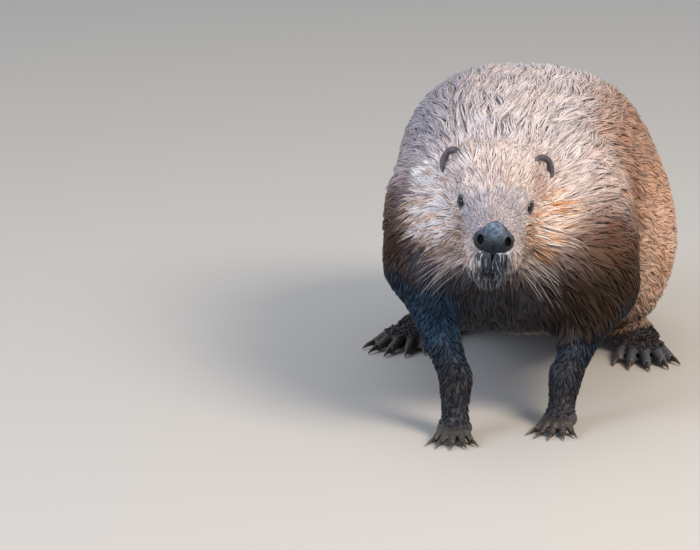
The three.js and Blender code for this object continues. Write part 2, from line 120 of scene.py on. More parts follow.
# y, half width, level of the widest point, top, bottom, squareness of the upper half
HEAD_SECTIONS = np.array([
    (-70, 27, -22, 4, -48, 2.3),
    (-55, 29, -23, 9, -50, 2.3),
    (-40, 31.5, -25, 14, -52, 2.2),
    (-20, 35, -27, 21, -56, 2.1),
    (0, 44, -29, 28, -63, 1.85),
    (22, 62, -32, 35, -75, 1.7),
    (45, 76, -35, 40, -87, 1.65),
    (70, 83, -37, 41, -94, 1.7),
    (100, 82, -38, 36, -98, 1.8),
    (130, 74, -38, 27, -98, 2),
])
TRUNK_SECTIONS = np.array([
    (20, 64, 190, 258, 130, 1.9),
    (100, 96, 172, 278, 86, 2.1),
    (150, 119, 165, 296, 72, 2.5),
    (210, 126, 156, 311, 56, 2.7),
    (300, 141, 148, 321, 34, 2.8),
    (400, 145, 138, 318, 24, 2.75),
    (460, 138, 128, 301, 25, 2.5),
    (520, 123, 114, 266, 28, 2.3),
    (570, 98, 95, 219, 24, 2.2),
    (610, 74, 72, 166, 15, 2.1),
    (640, 53, 48, 108, 8, 2),
    (670, 34, 26, 56, 2, 2),
    (700, 20, 12, 24, 0, 2),
])
LOWER_SQUARENESS = 2.3
HEAD_BACK, TRUNK_START, TRUNK_END = 118.0, 20.0, 700.0
MUZZLE_FRONT, MUZZLE_LEVEL, MUZZLE_WIDTH_BEND, MUZZLE_HEIGHT_BEND = -68.0, -20.0, 80.0, 110.0

# masses: centre and radii
WHISKER_PAD = ((14, -46, -37), (17, 19, 17))
BROW = ((25, 12, 8), (14, 20, 12))
JAW = ((0, -14, -58), (26, 38, 21))
SHOULDER = ((74, 145, 176), (54, 80, 86))
HAUNCH = ((88, 440, 118), (60, 105, 98))
EYE_CENTRE, EYE_RADIUS = (30.5, 0.0, 0.0), 6.5
TAIL_START, TAIL_LENGTH, TAIL_HALF_WIDTH, TAIL_HALF_THICKNESS = 652.0, 296.0, 62.0, 7.5
TAIL_DRIFT, TAIL_LEVEL, TAIL_SQUARENESS = 45.0, 6.6, 2.6

FORELEGS = {
    "right": dict(side=-1, shoulder=(-72, 145, 195), elbow=(-90, 92, 156), wrist=(-42, 22, 56),
                  palm=(-40, 0, 9.6), heading=4),
    "left": dict(side=1, shoulder=(72, 150, 190), elbow=(100, 128, 130), wrist=(66, 74, 50),
                 palm=(62, 52, 9.6), heading=-6),
}
HIND_LEGS = {
    "right": dict(side=-1, knee=(-104, 385, 88), heel=(-100, 482, 17.2), heading=-16),
    "left": dict(side=1, knee=(104, 372, 88), heel=(100, 468, 17.2), heading=14),
}
FOOT_LENGTH, BALL_HEIGHT = 78.0, 13.0
SHOULDER_RADIUS, ELBOW_RADIUS, FOREARM_RADIUS, WRIST_RADIUS = 46, 33, 31, 18
KNEE_RADIUS, ANKLE_RADIUS, HEEL_RADIUS, FOOT_RADIUS = 34, 20, 18, 17
PALM_RADII, BALL_RADII = (19, 22, 10.5), (27, 30, 12)
WEB_REACH, WEB_SCALLOP, WEB_LEVEL, WEB_HALF_THICKNESS = 66, 7, 5.2, 1.8
FORE_TOES = dict(lengths=(18, 23, 25, 23, 18), radius=5.0, fan=17, start=14)
HIND_TOES = dict(lengths=(46, 60, 66, 62, 50), radius=7.0, fan=13, start=16)
FAR = 500.0  # a distance at which nothing blends


def turn_matrix(axis, degrees):
    return np.array(Matrix.Rotation(math.radians(degrees), 3, axis))


HEAD_AXES = turn_matrix("Z", HEAD_TURN) @ turn_matrix("X", HEAD_NOD) @ turn_matrix("Y", HEAD_ROLL)


def into_head(points):
    return (points - (0, 0, EYE_HEIGHT)) @ HEAD_AXES


def out_of_head(points):
    return np.asarray(points, float) @ HEAD_AXES.T + (0, 0, EYE_HEIGHT)


def ease(value, low, high):
    """0 below low, 1 above high, and a smooth rise between."""
    t = np.clip((value - low) / (high - low), 0, 1)
    return t * t * (3 - 2 * t)


def fall(value, low, high):
    """1 below low, 0 above high, and a smooth fall between."""
    return 1 - ease(value, low, high)


def around(points, middle, full, none):
    """1 within full of a place and 0 beyond none, in mm."""
    return fall(np.linalg.norm(points - middle, axis=1), full, none)


def unit(vectors):
    return vectors / np.maximum(np.linalg.norm(vectors, axis=-1, keepdims=True), 1e-9)


def fold(points):
    """Points with those of the right side put over to the left."""
    return np.column_stack([np.abs(points[:, 0]), points[:, 1:]])


def body_shift(y):
    return BODY_SHIFT * ease(y, BODY_SHIFT_FROM, BODY_SHIFT_TO)


def shifted(point):
    x, y, z = point
    return np.array([x + body_shift(y), y, z])


def smooth_min(a, b, blend):
    overlap = np.maximum(blend - np.abs(a - b), 0) / blend
    return np.minimum(a, b) - overlap * overlap * blend / 4


def smooth_max(a, b, blend):
    return -smooth_min(-a, -b, blend)


def ellipsoid(points, centre, radii):
    scaled = (points - np.array(centre, float)) / radii
    length = np.linalg.norm(scaled, axis=-1)
    return length * (length - 1) / np.maximum(np.linalg.norm(scaled / radii, axis=-1), 1e-9)


def pair(points, centre, radii):
    """A mass and its mirror image."""
    return ellipsoid(fold(points), centre, radii)


def bar(points, start, end, start_radius, end_radius):
    start, end = np.array(start, float), np.array(end, float)
    span = end - start
    share = np.clip((points - start) @ span / (span @ span), 0, 1)
    axis = start + share[:, None] * span
    return np.linalg.norm(points - axis, axis=1) - (start_radius + (end_radius - start_radius) * share)


def section_values(sections, y):
    """Smooth values between sections, by a cubic through each pair of neighbours."""
    places, values = sections[:, 0], sections[:, 1:]
    slopes = np.empty_like(values)
    slopes[1:-1] = (values[2:] - values[:-2]) / (places[2:] - places[:-2])[:, None]
    slopes[0] = (values[1] - values[0]) / (places[1] - places[0])
    slopes[-1] = (values[-1] - values[-2]) / (places[-1] - places[-2])
    y = np.clip(y, places[0], places[-1])
    row = np.clip(np.searchsorted(places, y, side="right") - 1, 0, len(places) - 2)
    step = (places[row + 1] - places[row])[:, None]
    t = (y - places[row])[:, None] / step
    return (
        (2 * t**3 - 3 * t**2 + 1) * values[row]
        + (t**3 - 2 * t**2 + t) * step * slopes[row]
        + (3 * t**2 - 2 * t**3) * values[row + 1]
        + (t**3 - t**2) * step * slopes[row + 1]
    )


def sections_field(points, sections):
    half_width, widest, top, bottom, upper = section_values(sections, points[:, 1]).T
    rise = points[:, 2] - widest
    half_height = np.where(rise > 0, top - widest, widest - bottom)
    squareness = np.where(rise > 0, upper, LOWER_SQUARENESS)
    share = (
        (np.abs(points[:, 0]) / half_width) ** squareness + (np.abs(rise) / half_height) ** squareness
    ) ** (1 / squareness)
    radius = np.hypot(points[:, 0], rise)
    inside = -np.minimum(half_width, half_height)
    return np.where(share > 1e-6, radius * (1 - 1 / np.maximum(share, 1e-6)), inside)


def head_field(points):
    local = into_head(points)
    x, y, z = local.T
    front = MUZZLE_FRONT - y + x**2 / MUZZLE_WIDTH_BEND + (z - MUZZLE_LEVEL) ** 2 / MUZZLE_HEIGHT_BEND
    field = smooth_max(sections_field(local, HEAD_SECTIONS), front * 0.85, 16)
    field = smooth_max(field, y - HEAD_BACK, 50)
    field = smooth_min(field, pair(local, *WHISKER_PAD), 9)
    field = smooth_min(field, pair(local, *BROW), 12)
    return smooth_min(field, ellipsoid(local, *JAW), 7)


def trunk_field(points):
    straight = points.copy()
    straight[:, 0] -= body_shift(points[:, 1]) + BODY_LEAN * (LEAN_LEVEL - points[:, 2])
    field = sections_field(straight, TRUNK_SECTIONS)
    field = smooth_max(field, TRUNK_START - straight[:, 1], 60)
    field = smooth_max(field, straight[:, 1] - TRUNK_END, 20)
    field = smooth_min(field, pair(straight, *SHOULDER), 50)
    return smooth_min(field, pair(straight, *HAUNCH), 45)


def ahead(degrees):
    angle = math.radians(degrees)
    return np.array([math.sin(angle), -math.cos(angle), 0])


def toe_lines(origin, heading, side, toes):
    """The line of each toe: where it starts, its middle joint, its tip, and the way it points."""
    lines = []
    for index, length in enumerate(toes["lengths"]):
        way = ahead(heading + side * toes["fan"] * (index - 2))
        start = origin + way * toes["start"]
        middle = origin + way * (toes["start"] + length / 2) + (0, 0, toes["radius"] * 0.25)
        tip = origin + way * (toes["start"] + length)
        tip[2] = toes["radius"] * 0.8
        lines.append((start, middle, tip, way))
    return lines


def toes_field(points, lines, radius):
    field = np.full(len(points), FAR)
    for start, middle, tip, _ in lines:
        toe = np.minimum(
            bar(points, start, middle, radius * 1.15, radius),
            bar(points, middle, tip, radius, radius * 0.85),
        )
        field = smooth_min(field, toe, 2.5)
    return field


def fore_toes(leg):
    return toe_lines(shifted(leg["palm"]), leg["heading"], leg["side"], FORE_TOES)


def hind_ball(leg):
    ball = shifted(leg["heel"]) + ahead(leg["heading"]) * FOOT_LENGTH
    ball[2] = BALL_HEIGHT
    return ball


def hind_toes(leg):
    return toe_lines(hind_ball(leg), leg["heading"], leg["side"], HIND_TOES)


def foreleg_fields(points, leg):
    shoulder, elbow, wrist, palm = (shifted(leg[key]) for key in ("shoulder", "elbow", "wrist", "palm"))
    upper = bar(points, shoulder, elbow, SHOULDER_RADIUS, ELBOW_RADIUS)
    arm = smooth_min(upper, bar(points, elbow, wrist, FOREARM_RADIUS, WRIST_RADIUS), 20)
    paw = smooth_min(bar(points, wrist, palm, 16, 12), ellipsoid(points, palm, PALM_RADII), 8)
    return arm, smooth_min(paw, toes_field(points, fore_toes(leg), FORE_TOES["radius"]), 5)


def web_field(points, leg):
    """The thin skin between the hind toes: a flat fan round the ball of the foot."""
    local = points - hind_ball(leg)
    along = local @ ahead(leg["heading"])
    aside = local @ ahead(leg["heading"] + 90)
    angle = np.arctan2(aside, along)
    scallop = np.abs(np.sin(angle * 180 / HIND_TOES["fan"] / 2 + math.pi / 2))
    reach = WEB_REACH + 8 * np.cos(angle * 2) - WEB_SCALLOP * scallop
    sheet = np.abs(local[:, 2] + BALL_HEIGHT - WEB_LEVEL) - WEB_HALF_THICKNESS
    field = smooth_max(np.hypot(along, aside) - reach, sheet, 2)
    return smooth_max(field, (np.abs(angle) - math.radians(2.15 * HIND_TOES["fan"])) * 40, 2)


def hind_leg_fields(points, leg):
    knee, heel = shifted(leg["knee"]), shifted(leg["heel"])
    ball = hind_ball(leg)
    shank = bar(points, knee, heel + (0, 0, 8), KNEE_RADIUS, ANKLE_RADIUS)
    sole = bar(points, heel, ball, HEEL_RADIUS, FOOT_RADIUS)
    foot = smooth_min(sole, ellipsoid(points, ball, BALL_RADII), 14)
    foot = smooth_min(foot, toes_field(points, hind_toes(leg), HIND_TOES["radius"]), 8)
    return shank, smooth_min(foot, web_field(points, leg), 3)


def tail_drift(y):
    return body_shift(y) + TAIL_DRIFT * np.clip((y - TAIL_START) / TAIL_LENGTH, 0, 1) ** 2


def tail_outline(y):
    share = np.abs(2 * (y - TAIL_START) / TAIL_LENGTH - 1)
    return np.maximum(1 - share**TAIL_SQUARENESS, 0) ** (1 / TAIL_SQUARENESS)


def tail_field(points):
    x, y, z = points.T
    aside = np.abs(x - tail_drift(y)) / TAIL_HALF_WIDTH
    along = np.abs(y - TAIL_START - TAIL_LENGTH / 2) / (TAIL_LENGTH / 2)
    flat = (aside**TAIL_SQUARENESS + along**TAIL_SQUARENESS) ** (1 / TAIL_SQUARENESS)
    edge = (flat - 1) * TAIL_HALF_WIDTH
    thickness = TAIL_HALF_THICKNESS * np.clip(1.15 - flat**2 * 0.75, 0.4, 1)
    return smooth_max(edge, np.abs(z - TAIL_LEVEL) - thickness, 4)


def near(points, middle, reach, fields):
    """Rows of fields where points lie within reach of a place, and FAR beyond it."""
    chosen = (np.abs(points - np.array(middle, float)) < reach).all(axis=1)
    rows = np.full((2, len(points)), FAR)
    if chosen.any():
        rows[:, chosen] = fields(points[chosen])
    return rows


def flesh_fields(points):
    """Distances to the head, the trunk, the furred limbs, the paws and feet, and the tail."""
    head = head_field(points)
    trunk = trunk_field(points)
    limbs = np.full(len(points), FAR)
    paws = limbs.copy()
    for leg in FORELEGS.values():
        arm, paw = near(points, (leg["side"] * 60, 70, 110), (130, 190, 190),
                        lambda chosen, leg=leg: foreleg_fields(chosen, leg))
        limbs, paws = np.minimum(limbs, arm), np.minimum(paws, paw)
    for leg in HIND_LEGS.values():
        shank, foot = near(points, (leg["side"] * 110, 400, 60), (120, 180, 140),
                           lambda chosen, leg=leg: hind_leg_fields(chosen, leg))
        limbs, paws = np.minimum(limbs, shank), np.minimum(paws, foot)
    return head, trunk, limbs, paws, tail_field(points)


def outline_field(fields):
    """The animal out to the tips of its coat."""
    head, trunk, limbs, paws, tail = fields
    field = smooth_min(smooth_min(head, trunk, 34), limbs, 26)
    return smooth_min(smooth_min(field, paws, 12), tail, 16)


NOSE_TIP = np.array([0, -62, -14])
FACE_REACH = 140.0  # from the nose's tip, beyond which there are no lids, lips or nose
EYE_AIM = unit(np.array([0.76, -0.63, 0.12]))
LID_RADIUS = 8.1
LID_OPENING = (5.6, 4.0)  # across and up
NOSE_SEAT = -0.3  # from the nose pad's surface to the skin that meets it
FACE_COAT, BODY_COAT, LIMB_COAT, FOOT_COAT, TAIL_COAT = 1.0, 7.0, 6.0, 1.0, 0.5  # from skin to outline
SOLE_LEVEL = 0.3  # of the lowest skin over the floor

# hollows and masses of the face, in the head's axes: centre and radii
EYE_HOLLOW = ((41, -5, 0), (10, 11, 10.5))
MOUTH = ((0, -62, -49), (11, 24, 2.2))
LIP_SPLIT = ((0, -66, -36), (1.5, 9, 11))
NOSE_BELL = ((0, -55.5, -14), (17.5, 14.5, 17.5))
NOSE_WING = ((11.5, -59, -15.5), (8.3, 9, 9.5))
NOSE_GROOVE = ((0, -71, -24), (1.2, 5, 9))
NOSTRIL = ((13.8, -67.5, -12.5), (2.9, 6.5, 4.8))


def regions(points, fields):
    """What each point belongs to: shares from 0 to 1, and distances in the head."""
    head, trunk, limbs, paws, _ = fields
    body = np.minimum(head, trunk)
    local = into_head(points)
    folded = fold(local)
    found = dict(local=local, folded=folded)
    found["head"] = ease(trunk - head, -26, 20) * fall(body - limbs, -4, 12)
    found["face"] = ease(trunk - head, -10, 14) * fall(body - limbs, -4, 12)
    found["limb"] = ease(body - np.minimum(limbs, paws), -6, 16)
    found["paw"] = ease(np.minimum(limbs, body) - paws, -8, 12)
    found["tail"] = ease(points[:, 1], 640, 662)
    found["from_nose"] = np.linalg.norm(folded - NOSE_TIP, axis=1)
    found["from_eye"] = np.linalg.norm(folded - EYE_CENTRE, axis=1)
    return found


def coat_depth(places):
    """How far the skin lies inside the outline."""
    folded, from_nose = places["folded"], places["from_nose"]
    cheek = ease(folded[:, 0], 38, 70) * ease(folded[:, 1], 5, 50)
    growth = 2.0 * ease(from_nose, 16, 50) + 3.5 * ease(from_nose, 60, 120) + 4.0 * cheek
    face = FACE_COAT + growth * ease(places["from_eye"], 9, 26)
    deeper = (("head", face), ("limb", LIMB_COAT), ("paw", FOOT_COAT), ("tail", TAIL_COAT))
    return blended(BODY_COAT, *((places[part], depth) for part, depth in deeper))


def lids(folded):
    """The ball of skin round each eye, and the opening through it."""
    from_centre = folded - EYE_CENTRE
    ball = np.linalg.norm(from_centre, axis=1) - LID_RADIUS
    across = unit(np.cross(EYE_AIM, (0, 0, 1)))
    up = np.cross(across, EYE_AIM)
    opening = np.hypot(from_centre @ across / LID_OPENING[0], from_centre @ up / LID_OPENING[1])
    opening = (opening - 1) * LID_OPENING[0]
    return ball, smooth_max(opening, -from_centre @ EYE_AIM, 1)


def blended(start, *steps):
    """start, then each value in the share that comes with it."""
    value = start
    for share, target in steps:
        value = value + (target - value) * share
    return value


def waves(points, size_mm, seed):
    """Smooth random values from -1 to 1 that change over about size_mm."""
    draw = np.random.default_rng(seed)
    total = np.zeros(len(points))
    for _ in range(5):
        way = draw.normal(size=3)
        way *= math.tau / size_mm / np.linalg.norm(way) * draw.uniform(0.5, 1.3)
        total += np.sin(points @ way + draw.uniform(0, math.tau))
    return total / 3


def nose_mass(points):
    """The nose pad before its nostrils are cut: a blunt bell with a wing on each side."""
    narrowed = points.copy()
    narrowed[:, 0] *= 1 + 0.013 * np.maximum(points[:, 2] + 13, 0)
    return smooth_min(ellipsoid(narrowed, *NOSE_BELL), pair(points, *NOSE_WING), 5)


def nose_field(points):
    """The nose pad with its nostrils, the groove below them and a pebbled surface."""
    field = smooth_max(nose_mass(points), -pair(points, *NOSTRIL), 1.5)
    field = smooth_max(field, -ellipsoid(points, *NOSE_GROOVE), 2.5)
    return field + 0.34 * waves(points, 6, 21)


def skin_field(points):
    """The skin under the coat, with its lids, mouth and lip."""
    fields = flesh_fields(points)
    places = regions(points, fields)
    field = outline_field(fields) + coat_depth(places)
    by_face = places["from_nose"] < FACE_REACH
    if by_face.any():
        face, part = places["folded"][by_face], field[by_face]
        ball, opening = lids(face)
        part = smooth_max(part, -ellipsoid(face, *EYE_HOLLOW), 7)
        part = smooth_min(part, ball, 5)
        part = smooth_max(part, -opening, 1.2)
        part = smooth_max(part, -ellipsoid(face, *MOUTH), 2)
        part = smooth_max(part, -ellipsoid(face, *LIP_SPLIT), 2)
        field[by_face] = smooth_max(part, NOSE_SEAT - nose_mass(places["local"][by_face]), 0.6)
    return smooth_max(field, SOLE_LEVEL - points[:, 2], 1.5)


def slope(field, points, step=0.5):
    """The field and its gradient at points."""
    value = field(points)
    sides = [(field(points + offset) - value) / step for offset in np.eye(3) * step]
    return value, np.stack(sides, axis=1)


def stretches(*ends_and_steps):
    """Places along an axis, from a start, in stretches of a finer or coarser step."""
    start, *rest = ends_and_steps
    places = [float(start)]
    for end, step in rest:
        count = max(1, round((end - places[-1]) / step))
        places.extend(np.linspace(places[-1], end, count + 1)[1:])
    return np.array(places)


BLOCK = 4  # grid steps in a block that is looked at before its own points are
PADDING_STEP = 4.0  # mm, of the steps that fill the last block
BATCHES = 24  # of points, which keep the memory in use small
BAND = 1.3  # of a block's diagonal, from the surface, within which a block's own points are looked at


def banded_values(field, axes):
    """The field on a grid, exact near the surface and only of the right sign elsewhere."""
    missing = [(-len(axis)) % BLOCK + 1 for axis in axes]
    padding = [np.arange(1, count + 1) * PADDING_STEP for count in missing]
    axes = [np.append(axis, axis[-1] + more) for axis, more in zip(axes, padding)]
    coarse = [axis[::BLOCK] for axis in axes]
    corners = np.stack(np.meshgrid(*coarse, indexing="ij"), axis=-1)
    rough = field(corners.reshape(-1, 3)).reshape(corners.shape[:3])
    spans = [np.diff(axis) for axis in coarse]
    diagonal = np.sqrt(sum(np.square(span) for span in np.meshgrid(*spans, indexing="ij")))
    low = np.full(diagonal.shape, np.inf)
    for offsets in np.ndindex(2, 2, 2):
        part = rough[tuple(slice(o, o + n) for o, n in zip(offsets, diagonal.shape))]
        low = np.minimum(low, np.abs(part))
    values, wanted = rough[:-1, :-1, :-1], low < diagonal * BAND
    for axis in range(3):
        values, wanted = np.repeat(values, BLOCK, axis), np.repeat(wanted, BLOCK, axis)
    index = np.argwhere(wanted)
    points = np.stack([axes[k][index[:, k]] for k in range(3)], axis=1)
    values[wanted] = np.concatenate([field(part) for part in np.array_split(points, BATCHES)])
    return values, axes


def surface_nets(values, axes):
    """The surface where the values change sign, as points and four-cornered faces."""
    cells = np.array(values.shape) - 1
    inside = values < 0
    owners, places, faces = [], [], []
    for axis in range(3):
        first, second = [slice(None)] * 3, [slice(None)] * 3
        first[axis], second[axis] = slice(None, -1), slice(1, None)
        changed = inside[tuple(first)] != inside[tuple(second)]
        index = np.argwhere(changed)
        start, end = values[tuple(first)][changed], values[tuple(second)][changed]
        place = np.stack([axes[k][index[:, k]] for k in range(3)], axis=1)
        place[:, axis] += start / (start - end) * np.diff(axes[axis])[index[:, axis]]
        face = []
        for one, two in ((0, 0), (-1, 0), (-1, -1), (0, -1)):
            cell = index.copy()
            cell[:, (axis + 1) % 3] += one
            cell[:, (axis + 2) % 3] += two
            face.append(np.ravel_multi_index(tuple(cell.T), cells, mode="clip"))
            owners.append(face[-1])
            places.append(place)
        face = np.stack(face, axis=1)
        outward = start < 0
        faces.append(np.where(outward[:, None], face, face[:, ::-1]))
    used, number = np.unique(np.concatenate(owners), return_inverse=True)
    counts = np.bincount(number)
    place = np.concatenate(places)
    points = np.stack([np.bincount(number, place[:, k]) / counts for k in range(3)], axis=1)
    return points, np.searchsorted(used, np.concatenate(faces))


def settle(field, points, rounds=2, most=1.5):
    """Moves points on to the surface."""
    for _ in range(rounds):
        value, gradient = slope(field, points)
        step = gradient * (value / np.maximum(np.square(gradient).sum(axis=1), 0.1))[:, None]
        length = np.linalg.norm(step, axis=1, keepdims=True)
        points = points - step * np.minimum(1, most / np.maximum(length, 1e-9))
    return points


def shape_of(field, axes, rounds=2):
    values, axes = banded_values(field, axes)
    points, faces = surface_nets(values, axes)
    return settle(field, points, rounds), faces


SKIN_AXES = (
    stretches(-190, (-160, 6), (-100, 3.8), (-41, 3.2), (41, 1.5), (100, 3.2), (160, 3.8), (190, 6)),
    stretches(-78, (24, 1.5), (90, 2.8), (135, 4), (310, 6.5), (490, 3.6), (640, 6), (956, 5.4)),
    stretches(-4, (24, 2.1), (190, 5.4), (203, 2.6), (264, 1.5), (292, 3.4), (328, 5)),
)

# ------------------------------------------------------------------ materials

MULTIPLIED, SUBTRACTED = dict(operation="MULTIPLY"), dict(operation="SUBTRACT")
COLOURS = dict(data_type="RGBA")
WRINKLE_SPACING, PEBBLE_SPACING = 3.2, 1.3  # mm, of the bare hide and of the nose leather


def linear(colour):
    """An sRGB hex colour as the linear values that Blender mixes."""
    parts = [int(colour[i : i + 2], 16) / 255 for i in (1, 3, 5)]
    return (*(c / 12.92 if c <= 0.04045 else ((c + 0.055) / 1.055) ** 2.4 for c in parts), 1.0)


def plug(tree, socket, value):
    """Puts a number, a hex colour or another node's output into a socket."""
    if isinstance(value, bpy.types.NodeSocket):
        tree.links.new(value, socket)
    else:
        socket.default_value = linear(value) if isinstance(value, str) else value


def node(tree, kind, *inputs, give=None, **named):
    """Adds a node and gives the output of that name, or its first.

    Unnamed inputs come in the node's own order. A name that starts with a capital is an input too, and any
    other name is a setting.
    """
    made = tree.nodes.new("ShaderNode" + kind)
    for name in [name for name in named if not name[0].isupper()]:
        setattr(made, name, named.pop(name))
    for name, value in named.items():
        plug(tree, made.inputs[name], value)
    for socket, value in zip([socket for socket in made.inputs if socket.enabled], inputs):
        plug(tree, socket, value)
    return made.outputs[give] if give else next(socket for socket in made.outputs if socket.enabled)


def cloudy(tree, size_mm, low=0.0, high=1.0, least=0.0, most=1.0):
    """Cloudy patches about size_mm across; the noise between low and high goes from least to most."""
    place = node(tree, "TexCoord", give="Object")
    cloud = node(tree, "TexNoise", Vector=place, Scale=1000 / size_mm, Detail=3.0, Roughness=0.6, give="Fac")
    return node(tree, "MapRange", cloud, low, high, least, most)


def new_material(name):
    made = bpy.data.materials.new(name)
    made.use_nodes = True
    return made, made.node_tree


def finish(material, **inputs):
    """Sets the inputs of a material's shader, named with _ for each space."""
    tree = material.node_tree
    for name, value in inputs.items():
        plug(tree, tree.nodes["Principled BSDF"].inputs[name.replace("_", " ")], value)
    return material


def colour_of_coat():
    """The coat's colours, which the skin under it repeats.

    frost_and_sky_sheen: the pale grey and straw tips of the guard hairs, and on the body's top also a
    painted highlight of the sky on the wet coat; rust: the warm brown of the cheeks and flanks;
    soaked: fur so wet that it looks nearly black, and fur painted nearly black as shadow on the chest,
    throat and neck; contrast: how far a lock strays from its neighbours;
    along: 0 at a lock's root and 1 at its tip, with painted shade toward the root; chance: a value of the
    hair's own.
    """
    tree = bpy.data.node_groups.new("coat colour", "ShaderNodeTree")
    tree.interface.new_socket("Colour", in_out="OUTPUT", socket_type="NodeSocketColor")
    add = partial(node, tree)
    frost_and_sky_sheen, rust, soaked_and_shadowed, contrast, along, chance = (
        add("Attribute", attribute_name=name, give="Fac")
        for name in ("frost_and_sky_sheen", "rust", "soaked_and_shadowed", "contrast", "along", "chance")
    )
    striped = add("MapRange", contrast, 0.6, 1.2)

    # A second chance, unlike the first, which follows it the other way round where the coat is striped.
    other = add("Math", add("Math", chance, 7.31, **MULTIPLIED), operation="FRACT")
    opposed = add("Math", add("Math", 1.0, chance, **SUBTRACTED), other, **SUBTRACTED)
    other = add("Math", opposed, add("Math", striped, 0.7, **MULTIPLIED), other, operation="MULTIPLY_ADD")
    strays = (add("Math", 0.5, draw, **SUBTRACTED) for draw in (chance, other))
    warm, pale = (
        add("MapRange", add("Math", stray, contrast, value, operation="MULTIPLY_ADD"))
        for stray, value in zip(strays, (rust, frost_and_sky_sheen))
    )

    cool_fur = add("Mix", pale, add("Mix", striped, "#7f7b8b", "#362a22", **COLOURS), "#dfd6d7", **COLOURS)
    brown_fur = add("Mix", pale, "#7a4e35", "#d8a98b", **COLOURS)
    orange_fur = add("Mix", pale, "#4f2a14", "#d8965f", **COLOURS)
    fur = add("Mix", warm, cool_fur, add("Mix", striped, brown_fur, orange_fur, **COLOURS), **COLOURS)

    tip = add("Mix", warm, "#f8f4f3", add("Mix", striped, "#f0ccaa", "#e3a878", **COLOURS), **COLOURS)
    tipped = add("Math", add("MapRange", along, 0.1, 0.8, 0.2, 0.8), pale, **MULTIPLIED)
    tipped = add("Math", tipped, add("MapRange", contrast, 0.25, 0.6, 0.35, 1.0), **MULTIPLIED)
    fur = add("Mix", tipped, fur, tip, **COLOURS)

    # The root colour is the colour of the painted shade between the locks, darkest where the coat is
    # striped; the cloudy patches of it further down are the coat's own.
    root = add("Mix", warm, "#7a6f7c", "#6b4831", **COLOURS)
    root = add("Mix", add("Math", striped, 0.8, **MULTIPLIED), root, "#33241a", **COLOURS)
    # Painted shade: each hair is darkened toward its root, where shade falls between the locks.
    painted_root_shade = add("MapRange", along, 0.0, 0.5, 0.7, 0.0)
    painted_root_shade = add("Math", painted_root_shade, add("MapRange", frost_and_sky_sheen, 0.4, 1.0, 1.0, 0.4), **MULTIPLIED)
    painted_root_shade = add("Math", painted_root_shade, add("MapRange", contrast, 0.25, 0.6, 0.5, 1.0), **MULTIPLIED)
    fur = add("Mix", painted_root_shade, fur, root, **COLOURS)
    fur = add("Mix", cloudy(tree, 22.0, 0.35, 0.7, most=0.2), fur, root, **COLOURS)

    # Wet fur: its blue is a painted reflection of the sky, and its pale streaks are a painted sheen.
    dark = add("MapRange", chance, 0.0, 0.85)
    wet = add("Mix", dark, "#111c26", "#2c455b", **COLOURS)
    soil = add("Mix", dark, "#1a1310", "#3f2e22", **COLOURS)
    wet = add("Mix", rust, wet, soil, **COLOURS)
    painted_sheen_streak = add("Math", chance, add("MapRange", contrast, 0.3, 1.0, 0.8, 1.2), **MULTIPLIED)
    wet = add("Mix", add("MapRange", painted_sheen_streak, 0.74, 0.86, 0.0, 0.85), wet, "#bcc6cf", **COLOURS)
    output = tree.nodes.new("NodeGroupOutput")
    tree.links.new(add("Mix", soaked_and_shadowed, fur, wet, **COLOURS), output.inputs[0])
    return tree


coat_colour = colour_of_coat()


def coat_material():
    """Wet guard hair, brushed into locks by water: a damp gloss along each lock, soft between."""
    made, tree = new_material("wet guard hair")
    soaked_and_shadowed = node(tree, "Attribute", attribute_name="soaked_and_shadowed", give="Fac")
    return finish(
        made,
        Base_Color=node(tree, "Group", node_tree=coat_colour),
        Roughness=0.48,
        Specular_IOR_Level=node(tree, "MapRange", soaked_and_shadowed, 0.0, 1.0, 0.45, 0.2),
        Sheen_Weight=node(tree, "MapRange", soaked_and_shadowed, 0.0, 1.0, 0.12, 0.0),
        IOR=1.5,
        Sheen_Roughness=0.4,
    )


def skin_material():
    """Hide: under the coat it is underfur of the coat's colours, and bare on the feet, lids and tail."""
    made, tree = new_material("hide with underfur")
    soaked_and_shadowed, frost_and_sky_sheen, bare = (
        node(tree, "Attribute", attribute_name=name, give="Fac") for name in ("soaked_and_shadowed", "frost_and_sky_sheen", "bare")
    )
    dry = node(tree, "Math", 1.0, soaked_and_shadowed, **SUBTRACTED)
    patches = node(tree, "Math", cloudy(tree, 2.5, 0.3, 0.7, 0.1, 0.75), dry, **MULTIPLIED)
    under = node(tree, "Mix", patches, node(tree, "Group", node_tree=coat_colour), "#54453f", **COLOURS)
    hide = node(tree, "Mix", cloudy(tree, 5.0), "#1d1a18", "#453e39", **COLOURS)
    hide = node(tree, "Mix", node(tree, "MapRange", frost_and_sky_sheen, 0.35, 0.8), hide, "#45474f", **COLOURS)
    wrinkles = node(tree, "TexVoronoi", node(tree, "TexCoord", give="Object"), 1000 / WRINKLE_SPACING,
                    feature="DISTANCE_TO_EDGE", give="Distance")
    return finish(
        made,
        Base_Color=node(tree, "Mix", bare, under, hide, **COLOURS),
        Roughness=node(tree, "MapRange", bare, 0.0, 1.0, 0.7, 0.42),
        Normal=node(tree, "Bump", Height=node(tree, "MapRange", wrinkles, 0.0, 0.25), Distance=0.5 * MM,
                    Strength=0.7),
    )


